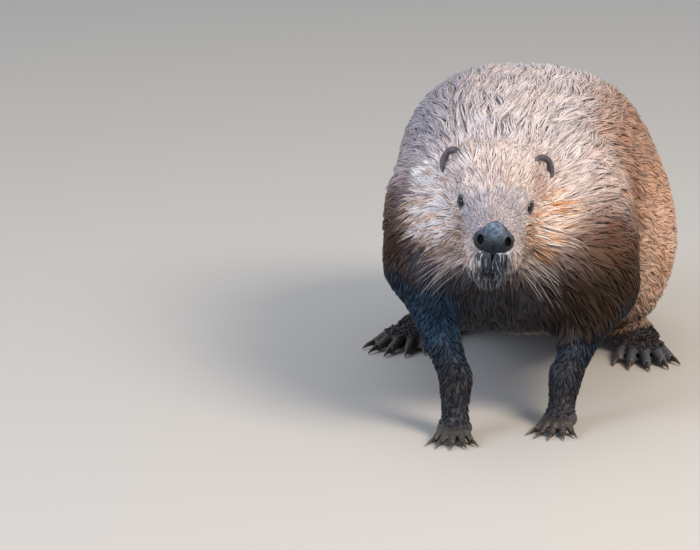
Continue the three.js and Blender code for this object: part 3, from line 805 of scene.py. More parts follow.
def nose_material():
    """Bare, wet rhinarium: pebbled leather, nearly black below, with painted shade making the nostrils black
    and a painted sky highlight making the top blue-grey.
    """
    made, tree = new_material("wet nose leather")
    above, nostril_shade = (
        node(tree, "Attribute", attribute_name=name, give="Fac") for name in ("above", "nostril_shade")
    )
    # The pad's top is painted blue-grey as a highlight of the sky, less so at its sides; its lower part is
    # nearly black.
    colour = node(tree, "Mix", above, "#151f2b", "#6f829c", **COLOURS)
    colour = node(tree, "Mix", cloudy(tree, 4.0, 0.36, 0.6, most=0.7), colour, "#121922", **COLOURS)
    pebbles = node(tree, "TexVoronoi", node(tree, "TexCoord", give="Object"), 1000 / PEBBLE_SPACING,
                   feature="SMOOTH_F1", give="Distance")
    return finish(
        made,
        # Painted shade: the nostrils are nearly black.
        Base_Color=node(tree, "Mix", nostril_shade, colour, "#060708", **COLOURS),
        Roughness=cloudy(tree, 3.0, 0.3, 0.7, 0.38, 0.62),
        Specular_IOR_Level=0.3,
        Normal=node(tree, "Bump", Height=pebbles, Distance=0.6 * MM, Strength=1.0),
    )


def ear_material():
    """Thin dark ear leather with a bloom of very short hair."""
    made, tree = new_material("ear leather")
    return finish(
        made,
        Base_Color=node(tree, "Mix", cloudy(tree, 4.0, 0.3, 0.7), "#26232a", "#4e4853", **COLOURS),
        Roughness=0.55,
        Sheen_Weight=0.3,
        Normal=node(tree, "Bump", Height=cloudy(tree, 1.2), Distance=0.3 * MM, Strength=0.6),
    )


def eye_material():
    """A dark brown iris round a black pupil under a wet, clear cornea, as a glass model eye is painted."""
    made, tree = new_material("glass model eye")
    ring = node(tree, "Attribute", attribute_name="ring", give="Fac")
    iris = node(tree, "Mix", cloudy(tree, 0.8, 0.3, 0.7), "#0e0a08", "#221812", **COLOURS)
    colour = node(tree, "Mix", node(tree, "MapRange", ring, 0.45, 0.52), "#050506", iris, **COLOURS)
    return finish(
        made,
        Base_Color=node(tree, "Mix", node(tree, "MapRange", ring, 0.93, 1.05), colour, "#121013", **COLOURS),
        Roughness=0.12,
        Specular_IOR_Level=0.25,
        Coat_Weight=0.35,
        Coat_Roughness=0.03,
    )


def claw_material():
    """Horn: dark brown at the quick, worn paler and duller at the tip."""
    made, tree = new_material("claw horn")
    along = node(tree, "Attribute", attribute_name="along", give="Fac")
    colour = node(tree, "Mix", along, "#221b18", "#6f6054", **COLOURS)
    return finish(
        made,
        Base_Color=node(tree, "Mix", cloudy(tree, 1.5, 0.4, 0.8, most=0.5), colour, "#171210", **COLOURS),
        Roughness=0.32,
        Normal=node(tree, "Bump", Height=cloudy(tree, 0.9), Distance=0.12 * MM, Strength=0.5),
    )


def whisker_material():
    """Whisker bristle: pale horn that takes the light, darker toward the root."""
    made, tree = new_material("whisker bristle")
    along = node(tree, "Attribute", attribute_name="along", give="Fac")
    colour = node(tree, "Mix", along, "#4b3f3a", "#cfc4bc", **COLOURS)
    return finish(made, Base_Color=colour, Roughness=0.35)


def tail_material():
    """Horny tail scales: near-black leather plates, damp, each a little different."""
    made, tree = new_material("horny tail scales")
    chance = node(tree, "Attribute", attribute_name="chance", give="Fac")
    colour = node(tree, "Mix", chance, "#26221f", "#4d463f", **COLOURS)
    return finish(
        made,
        Base_Color=node(tree, "Mix", cloudy(tree, 30.0, 0.35, 0.7, most=0.5), colour, "#171513", **COLOURS),
        Roughness=0.4,
        Normal=node(tree, "Bump", Height=cloudy(tree, 1.6), Distance=0.2 * MM, Strength=0.6),
    )


# ------------------------------------------------------------------ meshes


def tube_faces(rings, sides):
    """Triangles between rings of points, each ring having so many sides."""
    faces = []
    for ring in range(rings - 1):
        for corner in range(sides):
            one, two = ring * sides + corner, ring * sides + (corner + 1) % sides
            faces += [(one, one + sides, two + sides), (one, two + sides, two)]
    return faces


def closed_tube(rings, sides):
    """Triangles of a tube whose ends close to points; those two come after its rings."""
    start, end, last = rings * sides, rings * sides + 1, (rings - 1) * sides
    faces = tube_faces(rings, sides)
    for corner in range(sides):
        following = (corner + 1) % sides
        faces += [(start, corner, following), (last + corner, end, last + following)]
    return np.array(faces)


def repeated(faces, each, count):
    """The faces of many copies of a mesh with so many points each."""
    return (np.arange(count)[:, None, None] * each + faces).reshape(-1, faces.shape[1])


def make_piece(name, points, faces, material, attributes=None, uv=None):
    """A smooth piece of the model from points in mm and faces that all have the same number of corners."""
    faces = np.asarray(faces, np.int32)
    mesh = bpy.data.meshes.new(name)
    mesh.vertices.add(len(points))
    mesh.vertices.foreach_set("co", to_row(points).astype(np.float32).ravel())
    mesh.loops.add(faces.size)
    mesh.loops.foreach_set("vertex_index", faces.ravel())
    mesh.polygons.add(len(faces))
    mesh.polygons.foreach_set("loop_start", np.arange(len(faces), dtype=np.int32) * faces.shape[1])
    mesh.update(calc_edges=True)
    mesh.shade_smooth()
    for key, values in (attributes or {}).items():
        made = mesh.attributes.new(key, "FLOAT", "POINT")
        made.data.foreach_set("value", np.asarray(values, np.float32))
    if uv is not None:
        layer = mesh.uv_layers.new(name="OFBake")
        layer.uv.foreach_set("vector", uv[faces.ravel()].astype(np.float32).ravel())
    mesh.materials.append(material)
    piece = bpy.data.objects.new(name, mesh)
    bpy.context.scene.collection.objects.link(piece)
    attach(piece, "root")
    return piece


TEMPLE = (42, 26, 10)  # the darker place between each eye and ear, in the head's axes
HEAD_FROST, HEAD_RUST = 0.8, 0.26

# How much each part of the face adds to the head's frost and to its rust.
FACE_MARKS = {
    "bridge": (-0.38, -0.26), "cheek": (0.44, -0.16), "left_cheek": (0.0, 0.35), "low_cheek": (-1.05, 0.5),
    "beside_nose": (-0.45, 0.4), "pad": (-0.05, -0.2), "temple": (-0.34, 0.0), "left_temple": (0.0, 0.3),
    "edge": (-0.75, 0.4),
}


def parts_of_face(points, places):
    """Shares of the parts of the face that are marked differently."""
    local, folded, from_nose = places["local"], places["folded"], places["from_nose"]
    aside, back, height = folded.T
    cheek = ease(aside, 30, 48) * fall(height, -10, 10)
    temple = around(folded, TEMPLE, 8, 24)
    return dict(
        bridge=fall(from_nose, 48, 80) * ease(height - 0.5 * aside, -34, -12),
        cheek=cheek,
        left_cheek=cheek * ease(local[:, 0], 0, 30),
        low_cheek=cheek * fall(height + 0.5 * (aside - 52), -60, -30),
        beside_nose=(1 - np.abs(ease(aside, 20, 46) - 0.5) * 2) * fall(height, -14, 0),
        pad=fall(aside, 24, 34) * fall(height, -32, -14) * fall(back, -40, -20),
        temple=temple,
        left_temple=temple * ease(points[:, 0], -20, 20),
        edge=ease(-local[:, 0], 65, 80) * fall(height, -24, 4),
        throat=fall(height, -86, -62),
        chin=fall(height, -50, -38) * fall(back, -36, -10),
        lip=fall(aside, 12, 22) * fall(back, -50, -34) * ease(-height, 18, 26),
    )


def body_marks_and_painted_light(points, neck_shadow):
    """Frost and rust behind the head: a grey back, painted paler on top as the sky's sheen on the wet coat,
    over brown flanks; the left side paler and warmer and the right greyer, partly their own colour and
    partly painted sunlight and shade; and painted shadow on the neck behind the cheeks.
    """
    x, y, z = points.T
    # The upper body, where the painted sky highlight goes.
    sky_lit_top = ease(z + waves(points, 60, 3) * 14, 150, 262)
    # The left side is paler and warmer and the right side greyer, partly their own colour and partly painted
    # sunlight and shade.
    left_side, far_left = ease(x, -10, 110), ease(x, 40, 115)
    left_top = ease(x, 40, 95) * ease(y, 120, 260)
    flank = ease(y, 200, 320) * (1 - sky_lit_top)
    # Painted light: the upper body gets more frost as a sky highlight on the wet coat, and the neck behind
    # the cheeks gets less, as shadow.
    frost_and_sky_sheen = 0.18 + (0.51 - 0.04 * ease(y, 180, 300)) * sky_lit_top - 0.3 * ease(y, 380, 600) - 0.5 * neck_shadow
    frost_and_sky_sheen += flank * (0.95 * left_side - 0.3 * fall(z, 90, 175)) + 0.08 * far_left * fall(y, 120, 220)
    frost_and_sky_sheen -= sky_lit_top * (0.42 * ease(-x, 30, 95) + 0.28 * left_top) + 0.16 * ease(-x, 70, 110) * (1 - sky_lit_top)
    # Less rust on the upper body, under its painted sky highlight.
    rust = 0.05 + (1 - sky_lit_top) * (0.47 + 0.42 * left_side) + 0.32 * far_left + 0.55 * sky_lit_top * left_top
    rust -= 0.38 * far_left * fall(z, 160, 212) * ease(y, 180, 260)
    rust += 0.8 * ease(-x, 60, 110) * fall(z, 190, 285) * (1 - 0.6 * ease(y, 220, 400))
    return frost_and_sky_sheen, rust


def markings_and_painted_light(points, places):
    """The coat's markings at each point, for the skin and for the locks that grow from it, together with
    painted shadow on the chest, throat and neck, and the painted sky on the wet coat.
    """
    x, y, z = points.T
    local, limb, paw = places["local"], places["limb"], places["paw"]
    head = blended(places["face"], (fall(local[:, 2], -20, 10), ease(places["face"], 0.3, 0.7)))
    body = 1 - head
    parts = parts_of_face(points, places)
    throat, cheek, lip = parts["throat"], parts["cheek"], parts["lip"]
    beside_neck = ease(np.where(x > 0, x - 10, -x), 50, 78)
    # Painted shadow on the neck and shoulders, behind and under the cheeks.
    neck_shadow = fall(y, 110, 220) * beside_neck * fall(z + 8 * ease(x, 0, 60), 208, 246)
    # The chest under the head is painted dark: partly wet fur, partly painted shadow.
    chest = fall(y, 150, 270) * fall(z, 150, 226)
    upper_arm = ease(np.abs(x) + 12 * ease(-x, 0, 40), 46, 68) * fall(y, 130, 190) * fall(z, 142, 168) * body
    # On the right forearm the rust is taken away, so that its wet fur takes the painted blue reflection of
    # the sky.
    right_arm_sky_sheen = upper_arm * ease(z, 90, 120) * ease(-x, 0, 40) * (1 - 0.9 * ease(-x, 86, 100))

    frost_and_sky_sheen, rust = body_marks_and_painted_light(points, neck_shadow)
    head_frost = HEAD_FROST + sum(more * parts[part] for part, (more, _) in FACE_MARKS.items())
    head_rust = HEAD_RUST + sum(more * parts[part] for part, (_, more) in FACE_MARKS.items())
    muddy = np.maximum(0.55 * fall(z, 50, 120), 0.75 * ease(y, 250, 350))
    # The throat under the chin is painted dark and brown: partly wet fur, partly painted shadow under the
    # head.
    frost_and_sky_sheen = blended(frost_and_sky_sheen, (head, head_frost * (1 - 0.85 * throat)))
    rust = blended(rust, (head, head_rust), (head * throat, 0.8), (limb * fall(z, 120, 205), muddy))
    # Fur painted nearly black: wet on the legs, paws, belly, lip and chin, and painted shadow on the chest,
    # throat and neck behind the cheeks.
    soaked_and_shadowed = np.maximum.reduce([
        0.75 * limb * fall(z, 70, 190) + 0.95 * chest * body,
        0.5 * fall(z, 20, 90) * body,
        (0.45 + 0.47 * ease(-x, 0, 60)) * neck_shadow * (1 - 0.3 * ease(z, 188, 214)) * body,
        upper_arm,
        head * np.maximum.reduce([0.88 * throat, 0.9 * parts["chin"], 0.95 * lip]),
        paw,
    ])
    stripes = np.maximum.reduce([cheek * (1 - throat), parts["beside_nose"], parts["pad"], lip])
    bare = np.maximum.reduce([paw * fall(z, 11, 21), places["tail"], fall(places["from_eye"], 8.6, 10.0)])
    return dict(
        frost_and_sky_sheen=np.clip(frost_and_sky_sheen + 0.12 * waves(points, 25, 4), 0, 1.3),
        rust=np.clip(rust * (1 - right_arm_sky_sheen) + 0.1 * waves(points, 40, 5), 0, 1),
        soaked_and_shadowed=np.clip(soaked_and_shadowed, 0, 1),
        contrast=0.25 + head * (0.2 + stripes + 0.3 * parts["left_cheek"]),
        band=bands(points, local),
        bare=np.clip(bare, 0, 1),
    )


LINE_SPACING = 0.11  # of the cheek's lines of hair, as a slope from the nose
FAN_START = 20.0  # mm from the middle, where the cheek's lines start
CHEEK_DROP = 62.0  # how far the cheek's hair turns down on its way back


def flow_line(local):
    """A number that stays the same along a hair's way over the cheek, and grows by 1 from line to line."""
    side, height = np.maximum(np.abs(local[:, 0]), FAN_START), local[:, 2]
    steps = np.arange(FAN_START, 141)
    drop = np.cumsum(CHEEK_DROP * ease(steps, 34, 78) / steps**2)
    return (height / side + np.interp(side, steps, drop)) / LINE_SPACING


def bands(points, local):
    """Values from 0 to 1 in long, uneven stripes along the flow of the cheek's hair."""
    line = flow_line(local) + 0.35 * waves(points, 30, 51)
    wavering = np.sin(math.tau * line) + 0.7 * np.sin(math.tau * (0.43 * line + 0.2))
    return np.clip(0.5 + 0.36 * wavering + 0.12 * waves(points, 14, 52), 0, 1)


# ------------------------------------------------------------------ the skin

FLESH = (
    "head", "jaw", "neck", "trunk", "tail_base", "tail_blade",
    *(f"{part}_{side}" for side in ("left", "right")
      for part in ("upper_foreleg", "forearm", "forepaw", "thigh", "shank", "hindfoot")),
)
skin_points, skin_faces = shape_of(skin_field, SKIN_AXES)


def add_skin():
    places = regions(skin_points, flesh_fields(skin_points))
    marks = markings_and_painted_light(skin_points, places)
    # A quarter of the way along a hair, the skin takes on part of the coat's painted root shade.
    marks["along"] = np.full(len(skin_points), 0.25)
    marks["chance"] = 0.5 + 0.3 * waves(skin_points, 8, 9)
    piece = make_piece("skin", skin_points, skin_faces, skin_material(), marks)
    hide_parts(*FLESH)


add_skin()

# ------------------------------------------------------------------ the coat


NECK_LEVEL = 205.0  # the height that the coat fans out from on the front of the body


def lie_of_coat(points, places):
    """The way the coat lies: back from the nose, over the body to the tail, and down the limbs."""
    x, y, z = points.T
    local = places["local"]
    side, back, height = local.T
    nothing, ones = np.zeros(len(points)), np.ones(len(points))
    body = np.column_stack([nothing, ones, -0.45 * ease(np.abs(x), 30, 110)])
    body[:, 2] -= 0.9 * fall(y, 90, 200) * fall(z, 110, 190)
    fan = unit(np.column_stack([x, nothing, z - NECK_LEVEL]))
    body += fan * (0.9 * fall(y, 120, 260))[:, None]
    face = local - (0, -66, 0)
    face[:, 2] -= CHEEK_DROP * ease(np.abs(side), 34, 78) * ease(-height, -20, 30)
    round_eye = unit((places["folded"] - EYE_CENTRE) * np.column_stack([np.sign(side), ones, ones]))
    face = unit(face) + round_eye * (1.2 * fall(places["from_eye"], 9, 22))[:, None]
    lip = fall(back, -52, -30) * ease(-height, 22, 34)
    chin = fall(height, -54, -40) * fall(back, -36, -6)
    hanging = np.array([0, 0.15, -1])
    face = blended(face, (lip[:, None], hanging), (chin[:, None], hanging))
    way = blended(
        body,
        (places["head"][:, None], face @ HEAD_AXES.T),
        (places["limb"][:, None], np.array([0, 0.25, -1])),
        (places["paw"][:, None], np.array([0, -1, -0.5])),
    )
    stir = [waves(points, 34, seed) + 0.8 * waves(points, 90, seed + 10) for seed in (11, 12, 13)]
    ripple = [waves(points, 15, seed) for seed in (14, 15, 16)]
    way = way + np.column_stack(stir) * (0.2 - 0.08 * places["head"])[:, None]
    return way + np.column_stack(ripple) * (0.03 + 0.09 * places["head"])[:, None]


EAR_FRONT = (47, 44, 13)  # the place in front of each ear, in the head's axes
EAR_TUFT = (32, 46, 18)  # the middle of the tuft in front of each ear, in the head's axes

# The locks of each part: length, width, height of the tip over the skin and spacing, in mm; how unruly and
# how loose they are, and how far the water draws their tips together. A later part goes over the ones before
# it, and None leaves what is under it.
LOCK_VALUES = ("length", "width", "height", "spacing", "mess", "loose", "gathering")
BACK_LOCKS = (36.0, 2.7, 4.8, 8.8, 0.12, 0.0, 0.52)
PART_LOCKS = {
    "nape": (60.0, 2.7, 5.8, 9.2, 0.14, 0.1, 0.75),
    "smooth_flank": (None, 2.4, 4.0, 7.6, 0.08, None, 0.35),
    "belly": (28.0, 4.0, None, 13.0, None, None, None),
    "rear": (38.0, 3.3, None, 10.6, None, None, 0.5),
    "head": (28.0, 1.3, 2.5, 3.7, 0.1, None, 0.85),
    "crown": (48.0, 1.6, 3.8, 4.8, 0.12, None, None),
    "throat": (30.0, 2.4, 6.0, 6.5, None, 0.6, None),
    "cheek": (50.0, 1.6, 4.8, 4.7, 0.06, None, None),
    "low_cheek": (38.0, None, None, None, None, 0.6, None),
    "ear_tuft": (30.0, None, 12.0, 3.6, None, 0.4, None),
    "muzzle": (8.0, 0.85, 1.1, 2.2, None, None, None),
    "whisker_pad": (14.0, None, 2.0, None, None, None, None),
    "lip": (24.0, 1.0, 3.0, 2.8, None, 0.8, None),
    "chin": (22.0, None, None, None, None, 0.8, None),
    "limb": (15.0, 1.9, 3.4, 4.2, None, None, 0.35),
    "paw": (7.0, 1.2, 1.7, 3.4, None, None, None),
}


def parts_of_coat(points, places):
    """Shares of the parts of the coat whose locks differ."""
    y, z = points[:, 1], points[:, 2]
    folded, from_nose = places["folded"], places["from_nose"]
    aside, back, height = folded.T
    head, limb = places["head"], places["limb"]
    lip = head * fall(aside, 15, 26) * fall(back, -48, -30) * ease(-height, 24, 34)
    muzzle = head * fall(from_nose, 26, 56) * (1 - lip)
    return dict(
        nape=fall(y, 190, 330) * ease(z, 215, 260) * (1 - head),
        smooth_flank=ease(y, 190, 300) * fall(z, 225, 285),
        belly=fall(z, 50, 110) * (1 - limb),
        rear=ease(y, 300, 480),
        head=head,
        crown=head * ease(from_nose, 85, 135),
        throat=head * fall(height, -84, -64),
        cheek=head * ease(aside, 26, 44) * fall(height, -8, 12),
        low_cheek=head * ease(aside, 40, 64) * fall(height, -56, -24) * ease(back, -20, 20),
        ear_tuft=head * around(folded, EAR_TUFT, 8, 18),
        muzzle=muzzle,
        whisker_pad=muzzle * fall(height, -36, -16),
        lip=lip,
        chin=head * fall(height, -54, -40) * fall(back, -36, -10),
        limb=limb,
        paw=places["paw"],
    )


def plan_of_coat(points, places):
    """LOCK_VALUES for a lock at each point. Locks are shorter and flatter by the eyes and ears."""
    parts = parts_of_coat(points, places)
    plan = {}
    for column, (value, start) in enumerate(zip(LOCK_VALUES, BACK_LOCKS)):
        steps = [(parts[part], row[column]) for part, row in PART_LOCKS.items() if row[column] is not None]
        plan[value] = blended(start, *steps)
    by_eye = ease(places["from_eye"], 10, 30)
    by_ear = around(places["folded"], EAR_FRONT, 12, 28)
    by_ear *= 0.08 + 0.57 * ease(places["local"][:, 0], -10, 10)
    on_paw = blended(1.0, (places["paw"], 0.55 + 0.45 * ease(points[:, 2], 12, 30)))
    plan["length"] = plan["length"] * (0.15 + 0.85 * by_eye) * (1 - by_ear) * on_paw
    plan["height"] = plan["height"] * (0.2 + 0.8 * by_eye) * (1 - by_ear)
    return plan


BOX_SIZES = 4  # of the grid's boxes, for each doubling of the spacing
BOX_SHIFT = 0.37  # of a box, which keeps the sides of the boxes off the animal's middle
BOX_PRIMES = (73856093, 19349663, 83492791)  # large, so that boxes get numbers of their own


def scattered(points, spacing):
    """Picks points about one spacing apart: the first that falls in each box of a grid."""
    size = np.round(np.log2(spacing) * BOX_SIZES).astype(np.int64)
    box = np.floor(points / (2 ** (size / BOX_SIZES))[:, None] + BOX_SHIFT).astype(np.int64) * BOX_PRIMES
    number = (box[:, 0] ^ box[:, 1] ^ box[:, 2]) * 64 + size
    return np.sort(np.unique(number, return_index=True)[1])


def random_on_skin(count):
    """Random points all over the skin, closer together on the head."""
    corners = skin_points[skin_faces]
    one, two, three, four = corners.transpose(1, 0, 2)
    area = 0.5 * np.linalg.norm(np.cross(three - one, four - two), axis=1)
    from_nose = np.linalg.norm(into_head(corners.mean(axis=1)) - NOSE_TIP, axis=1)
    wanted = area * (1 + 9 * fall(from_nose, 40, 190))
    chosen = random.choice(len(skin_faces), count, p=wanted / wanted.sum())
    u, v = random.random((2, count, 1))
    one, two, three, four = (corner[chosen] for corner in (one, two, three, four))
    return (one * (1 - u) + two * u) * (1 - v) + (four * (1 - u) + three * u) * v


STEPS = 4  # of a lock's middle line, from root to tip
ROOT_DEPTH = 1.2  # mm, of a lock's root under the skin
FLOOR_CLEARANCE, HAIR_CLEARANCE = 2.0, 0.5  # mm, of a lock's middle line and of a hair


def guide_lines(roots, plan):
    """The middle line of each lock, stepping over the skin, and the way outward at each of its points."""
    value, gradient = slope(skin_field, roots)
    outward = unit(gradient)
    point = roots - outward * (value + ROOT_DEPTH)[:, None]
    lines, normals = [point], [outward]
    turn = random.normal(size=(len(roots), 3)) * plan["mess"][:, None]
    curl = random.normal(size=(len(roots), 3)) * plan["mess"][:, None] * 0.8
    for step in range(1, STEPS + 1):
        free = plan["loose"] * step / STEPS
        way = unit(lie_of_coat(point, regions(point, flesh_fields(point)))) + turn + curl * (step - 2)
        way[:, 2] -= free
        rise = (way * outward).sum(axis=1)
        way = unit(way - outward * np.where(rise > 0, rise * (1 - free), rise)[:, None])
        point = point + way * (plan["length"] / STEPS)[:, None]
        value, gradient = slope(skin_field, point)
        outward = unit(gradient)
        excess = value - plan["height"] * (step / STEPS) ** 0.8
        point = point - outward * np.where(excess > 0, excess * (1 - free), excess)[:, None]
        point[:, 2] = np.maximum(point[:, 2], FLOOR_CLEARANCE)
        lines.append(point)
        normals.append(outward)
    return np.stack(lines, axis=1), np.stack(normals, axis=1)


GATHERING = 2.6  # the reach of a gathering of locks, in spacings


def gathered(lines, roots, plan):
    """Draws the tips of neighbouring locks together, as water does; also gives each one's leader."""
    leaders = scattered(roots, plan["spacing"] * GATHERING)
    tree = KDTree(len(leaders))
    for number, place in enumerate(roots[leaders]):
        tree.insert(place, number)
    tree.balance()
    own = np.array([tree.find(place)[1] for place in roots])
    pull = (plan["gathering"] * random.uniform(0.6, 1.2, len(leaders))[own])[:, None, None]
    share = (np.arange(STEPS + 1) / STEPS)[None, :, None] ** 1.4
    return lines + (lines[leaders[own]] - lines) * share * pull, own


HAIR_SCATTER = 0.52  # of a lock's spread, for its hairs
HAIR_SHORTFALL = 0.32  # how much shorter than its lock a hair may be
HAIR_TAPER = 0.86


def hairs_of(lines, normals, width, spread, hairs, rings):
    """Tapered, three-sided hairs for each lock, which draw together towards its tip."""
    count = len(lines)
    share = np.linspace(0, 1, rings + 1)
    along = unit(np.gradient(lines, axis=1))
    aside = unit(np.cross(along, normals))
    offset = random.normal(scale=HAIR_SCATTER, size=(count, hairs, 2)) * spread[:, None, None]
    reach = 1 - random.uniform(0, HAIR_SHORTFALL, size=(count, hairs, 1))
    closing = 1 - 0.9 * share**0.8
    place = share * reach * STEPS
    lower = np.clip(place.astype(int), 0, STEPS - 1)
    rest = (place - lower)[..., None]
    row = np.arange(count)[:, None, None]
    centre, forward, side, up = (
        values[row, lower] * (1 - rest) + values[row, lower + 1] * rest
        for values in (lines, along, aside, normals)
    )
    centre = centre + side * (offset[:, :, None, 0] * closing)[..., None]
    centre = centre + forward * (offset[:, :, None, 1] * closing)[..., None]
    centre = centre + up * (random.uniform(-0.5, 0.5, (count, hairs, 1)) * width[:, None, None])[..., None]
    wide = width[:, None, None] * random.uniform(0.7, 1.2, size=(count, hairs, 1))
    wide = (wide * (1 - HAIR_TAPER * share**1.6) * 0.5)[..., None]
    corners = [centre + way * wide for way in (-side - up * 0.25, up * 0.8, side - up * 0.25)]
    body = np.stack(corners, axis=3)[:, :, :-1].reshape(count * hairs, rings * 3, 3)
    return np.concatenate([body, centre[:, :, -1].reshape(count * hairs, 1, 3)], axis=1)


def hair_faces(rings):
    """Triangles of one hair: its root's cap, its sides and its tip."""
    last, tip = (rings - 1) * 3, rings * 3
    end = [(last + corner, tip, last + (corner + 1) % 3) for corner in range(3)]
    return np.array([(0, 1, 2), *tube_faces(rings, 3), *end])


def along_hair(rings):
    """How far from root to tip each point of a hair is."""
    return np.append(np.repeat(np.arange(rings) / rings, 3), 1.0)


def unwrapped(points):
    """The skin unrolled about the spine: how far round, and how far from nose to tail."""
    spine = EYE_HEIGHT - 7 - 150 * ease(points[:, 1], 0, 260)
    round_about = np.arctan2(points[:, 0] - body_shift(points[:, 1]), points[:, 2] - spine)
    return np.column_stack([round_about / math.tau + 0.5, (points[:, 1] + 75) / 1040])


PATCH = 0.003  # width and height of a hair's place on the map


def bake_map(roots, hairs, rings):
    """A small patch for each hair, at its root's place on the unrolled skin."""
    place = unwrapped(roots)
    low, high = place.min(axis=0), place.max(axis=0)
    place = (place - low) / np.maximum(high - low, 1e-9) * (1 - 3 * PATCH) + PATCH
    across = np.append(np.tile([0, 0.5, 1], rings), 0.5)
    patch = np.column_stack([across, along_hair(rings)]) * PATCH
    return (np.repeat(place, hairs, axis=0)[:, None] + patch).reshape(-1, 2)


MOST_TRIANGLES = 195000  # in one piece of the coat
LONG_LOCK = 16.0  # mm, from which a lock is made with more hairs and more rings
LONG_HAIRS, LONG_RINGS = 5, 4
SHORT_HAIRS, SHORT_RINGS = 4, 3

COAT_MARKS = ("frost_and_sky_sheen", "rust", "soaked_and_shadowed", "contrast")

wet_hair = coat_material()


def add_locks(kind, roots, plan, marks, hairs, rings):
    """Locks of one kind, in as many pieces as they need from nose to tail."""
    uneven_length = (0.95 + 0.16 * waves(roots, 20, 41)) * random.uniform(0.85, 1.15, len(roots))
    uneven_height = (0.88 + 0.2 * waves(roots, 16, 42)) * random.uniform(0.85, 1.1, len(roots))
    plan = dict(plan, length=plan["length"] * uneven_length, height=plan["height"] * uneven_height)
    lines, normals = guide_lines(roots, plan)
    lines, leader = gathered(lines, roots, plan)
    points = hairs_of(lines, normals, plan["width"], plan["spacing"] * 0.5, hairs, rings)
    points[..., 2] = np.maximum(points[..., 2], HAIR_CLEARANCE)
    faces, along = hair_faces(rings), along_hair(rings)
    lock_chance = 0.55 * random.random(leader.max() + 1)[leader] + 0.45 * random.random(len(roots))
    lock_chance = blended(lock_chance, (0.72 * ease(marks["contrast"], 0.6, 1.2), marks["band"]))
    order = np.argsort(roots[:, 1], kind="stable")
    pieces = math.ceil(len(points) * len(faces) / MOST_TRIANGLES)
    for number, part in enumerate(np.array_split(order, pieces)):
        own = (part[:, None] * hairs + np.arange(hairs)).ravel()
        values = {key: np.repeat(marks[key][part], hairs * len(along)) for key in COAT_MARKS}
        values["along"] = np.tile(along, len(own))
        chance = 0.8 * np.repeat(lock_chance[part], hairs) + 0.2 * random.random(len(own))
        values["chance"] = np.repeat(chance, len(along))
        make_piece(f"{kind}_{number + 1}", points[own].reshape(-1, 3), repeated(faces, len(along), len(own)),
                   wet_hair, values, bake_map(roots[part], hairs, rings))


TRIED_ROOTS = 260000  # random places for locks, of which about one in seventeen is kept


def add_coat():
    roots = random_on_skin(TRIED_ROOTS)
    places = regions(roots, flesh_fields(roots))
    marks, plan = markings_and_painted_light(roots, places), plan_of_coat(roots, places)
    from_pad = np.full(len(roots), FAR)
    by_nose = places["from_nose"] < 40
    from_pad[by_nose] = nose_mass(places["local"][by_nose])
    furred = np.flatnonzero((marks["bare"] < 0.5) & (roots[:, 2] > 5) & (from_pad > 0.4))
    kept = furred[scattered(roots[furred], plan["spacing"][furred])]
    long = plan["length"][kept] > LONG_LOCK
    for kind, chosen, hairs, rings in (
        ("long_coat", kept[long], LONG_HAIRS, LONG_RINGS),
        ("short_coat", kept[~long], SHORT_HAIRS, SHORT_RINGS),
    ):
        own_plan = {key: values[chosen] for key, values in plan.items()}
        own_marks = {key: values[chosen] for key, values in marks.items()}
        add_locks(kind, roots[chosen], own_plan, own_marks, hairs, rings)


add_coat()

# ------------------------------------------------------------------ nose, eyes and ears

SIDES = {"left": 1, "right": -1}


def from_folded(points, side):
    """Points of the head's left side, put back on either side of the animal."""
    return out_of_head(points * (side, 1, 1))


def add_both(name, points, faces, material, attributes=None, roots=None, replaced=None):
    """The same piece on either side of the head, from the points and faces of the left one."""
    for side, sign in SIDES.items():
        order = faces if sign > 0 else faces[:, ::-1]
        uv = None if roots is None else bake_map(from_folded(roots, sign), SHORT_HAIRS, SHORT_RINGS)
        piece = make_piece(f"{name}_{side}", from_folded(points, sign), order, material, attributes, uv)
        if replaced:
            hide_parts(f"{replaced}_{side}")


def add_nose():
    axes = (stretches(-25, (25, 0.9)), stretches(-78, (-40, 0.9)), stretches(-36, (8, 0.9)))
    points, faces = shape_of(nose_field, axes)
    # A painted highlight on the pad's top, weaker at its sides, and painted shade in the nostrils.
    above = ease(points[:, 2], -18, 4) * (1 - 0.35 * ease(np.abs(points[:, 0]), 5, 13))
    attributes = dict(above=above, nostril_shade=fall(pair(points, *NOSTRIL), 0.2, 2.0))
    piece = make_piece("nose_pad", out_of_head(points), faces, nose_material(), attributes)
    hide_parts("nose")


IRIS_ANGLE = 0.8  # radians from the eye's aim to the iris's edge
CORNEA_RISE = 0.9
EYE_RINGS, EYE_SIDES = 35, 40


def add_eyes():
    """Each eye is a ball with a swelling cornea; ring is 0 at the pupil's middle, 1 at the iris's edge."""
    across = unit(np.cross(EYE_AIM, (0, 0, 1)))
    up = np.cross(across, EYE_AIM)
    angle = np.linspace(0, math.pi, EYE_RINGS + 2)[1:-1]
    turn = np.arange(EYE_SIDES) * math.tau / EYE_SIDES
    radius = EYE_RADIUS + CORNEA_RISE * np.maximum(1 - (angle / IRIS_ANGLE) ** 2, 0) ** 1.5
    way = (
        np.cos(angle)[:, None, None] * EYE_AIM
        + np.sin(angle)[:, None, None] * (np.cos(turn)[:, None] * across + np.sin(turn)[:, None] * up)
    )
    points = (radius[:, None, None] * way).reshape(-1, 3)
    points = np.vstack([points, (EYE_RADIUS + CORNEA_RISE) * EYE_AIM, -EYE_RADIUS * EYE_AIM]) + EYE_CENTRE
    ring = np.append(np.repeat(angle, EYE_SIDES), (0, math.pi)) / IRIS_ANGLE
    faces = closed_tube(EYE_RINGS, EYE_SIDES)[:, ::-1]
    add_both("eyeball", points, faces, eye_material(), dict(ring=ring), replaced="eye")


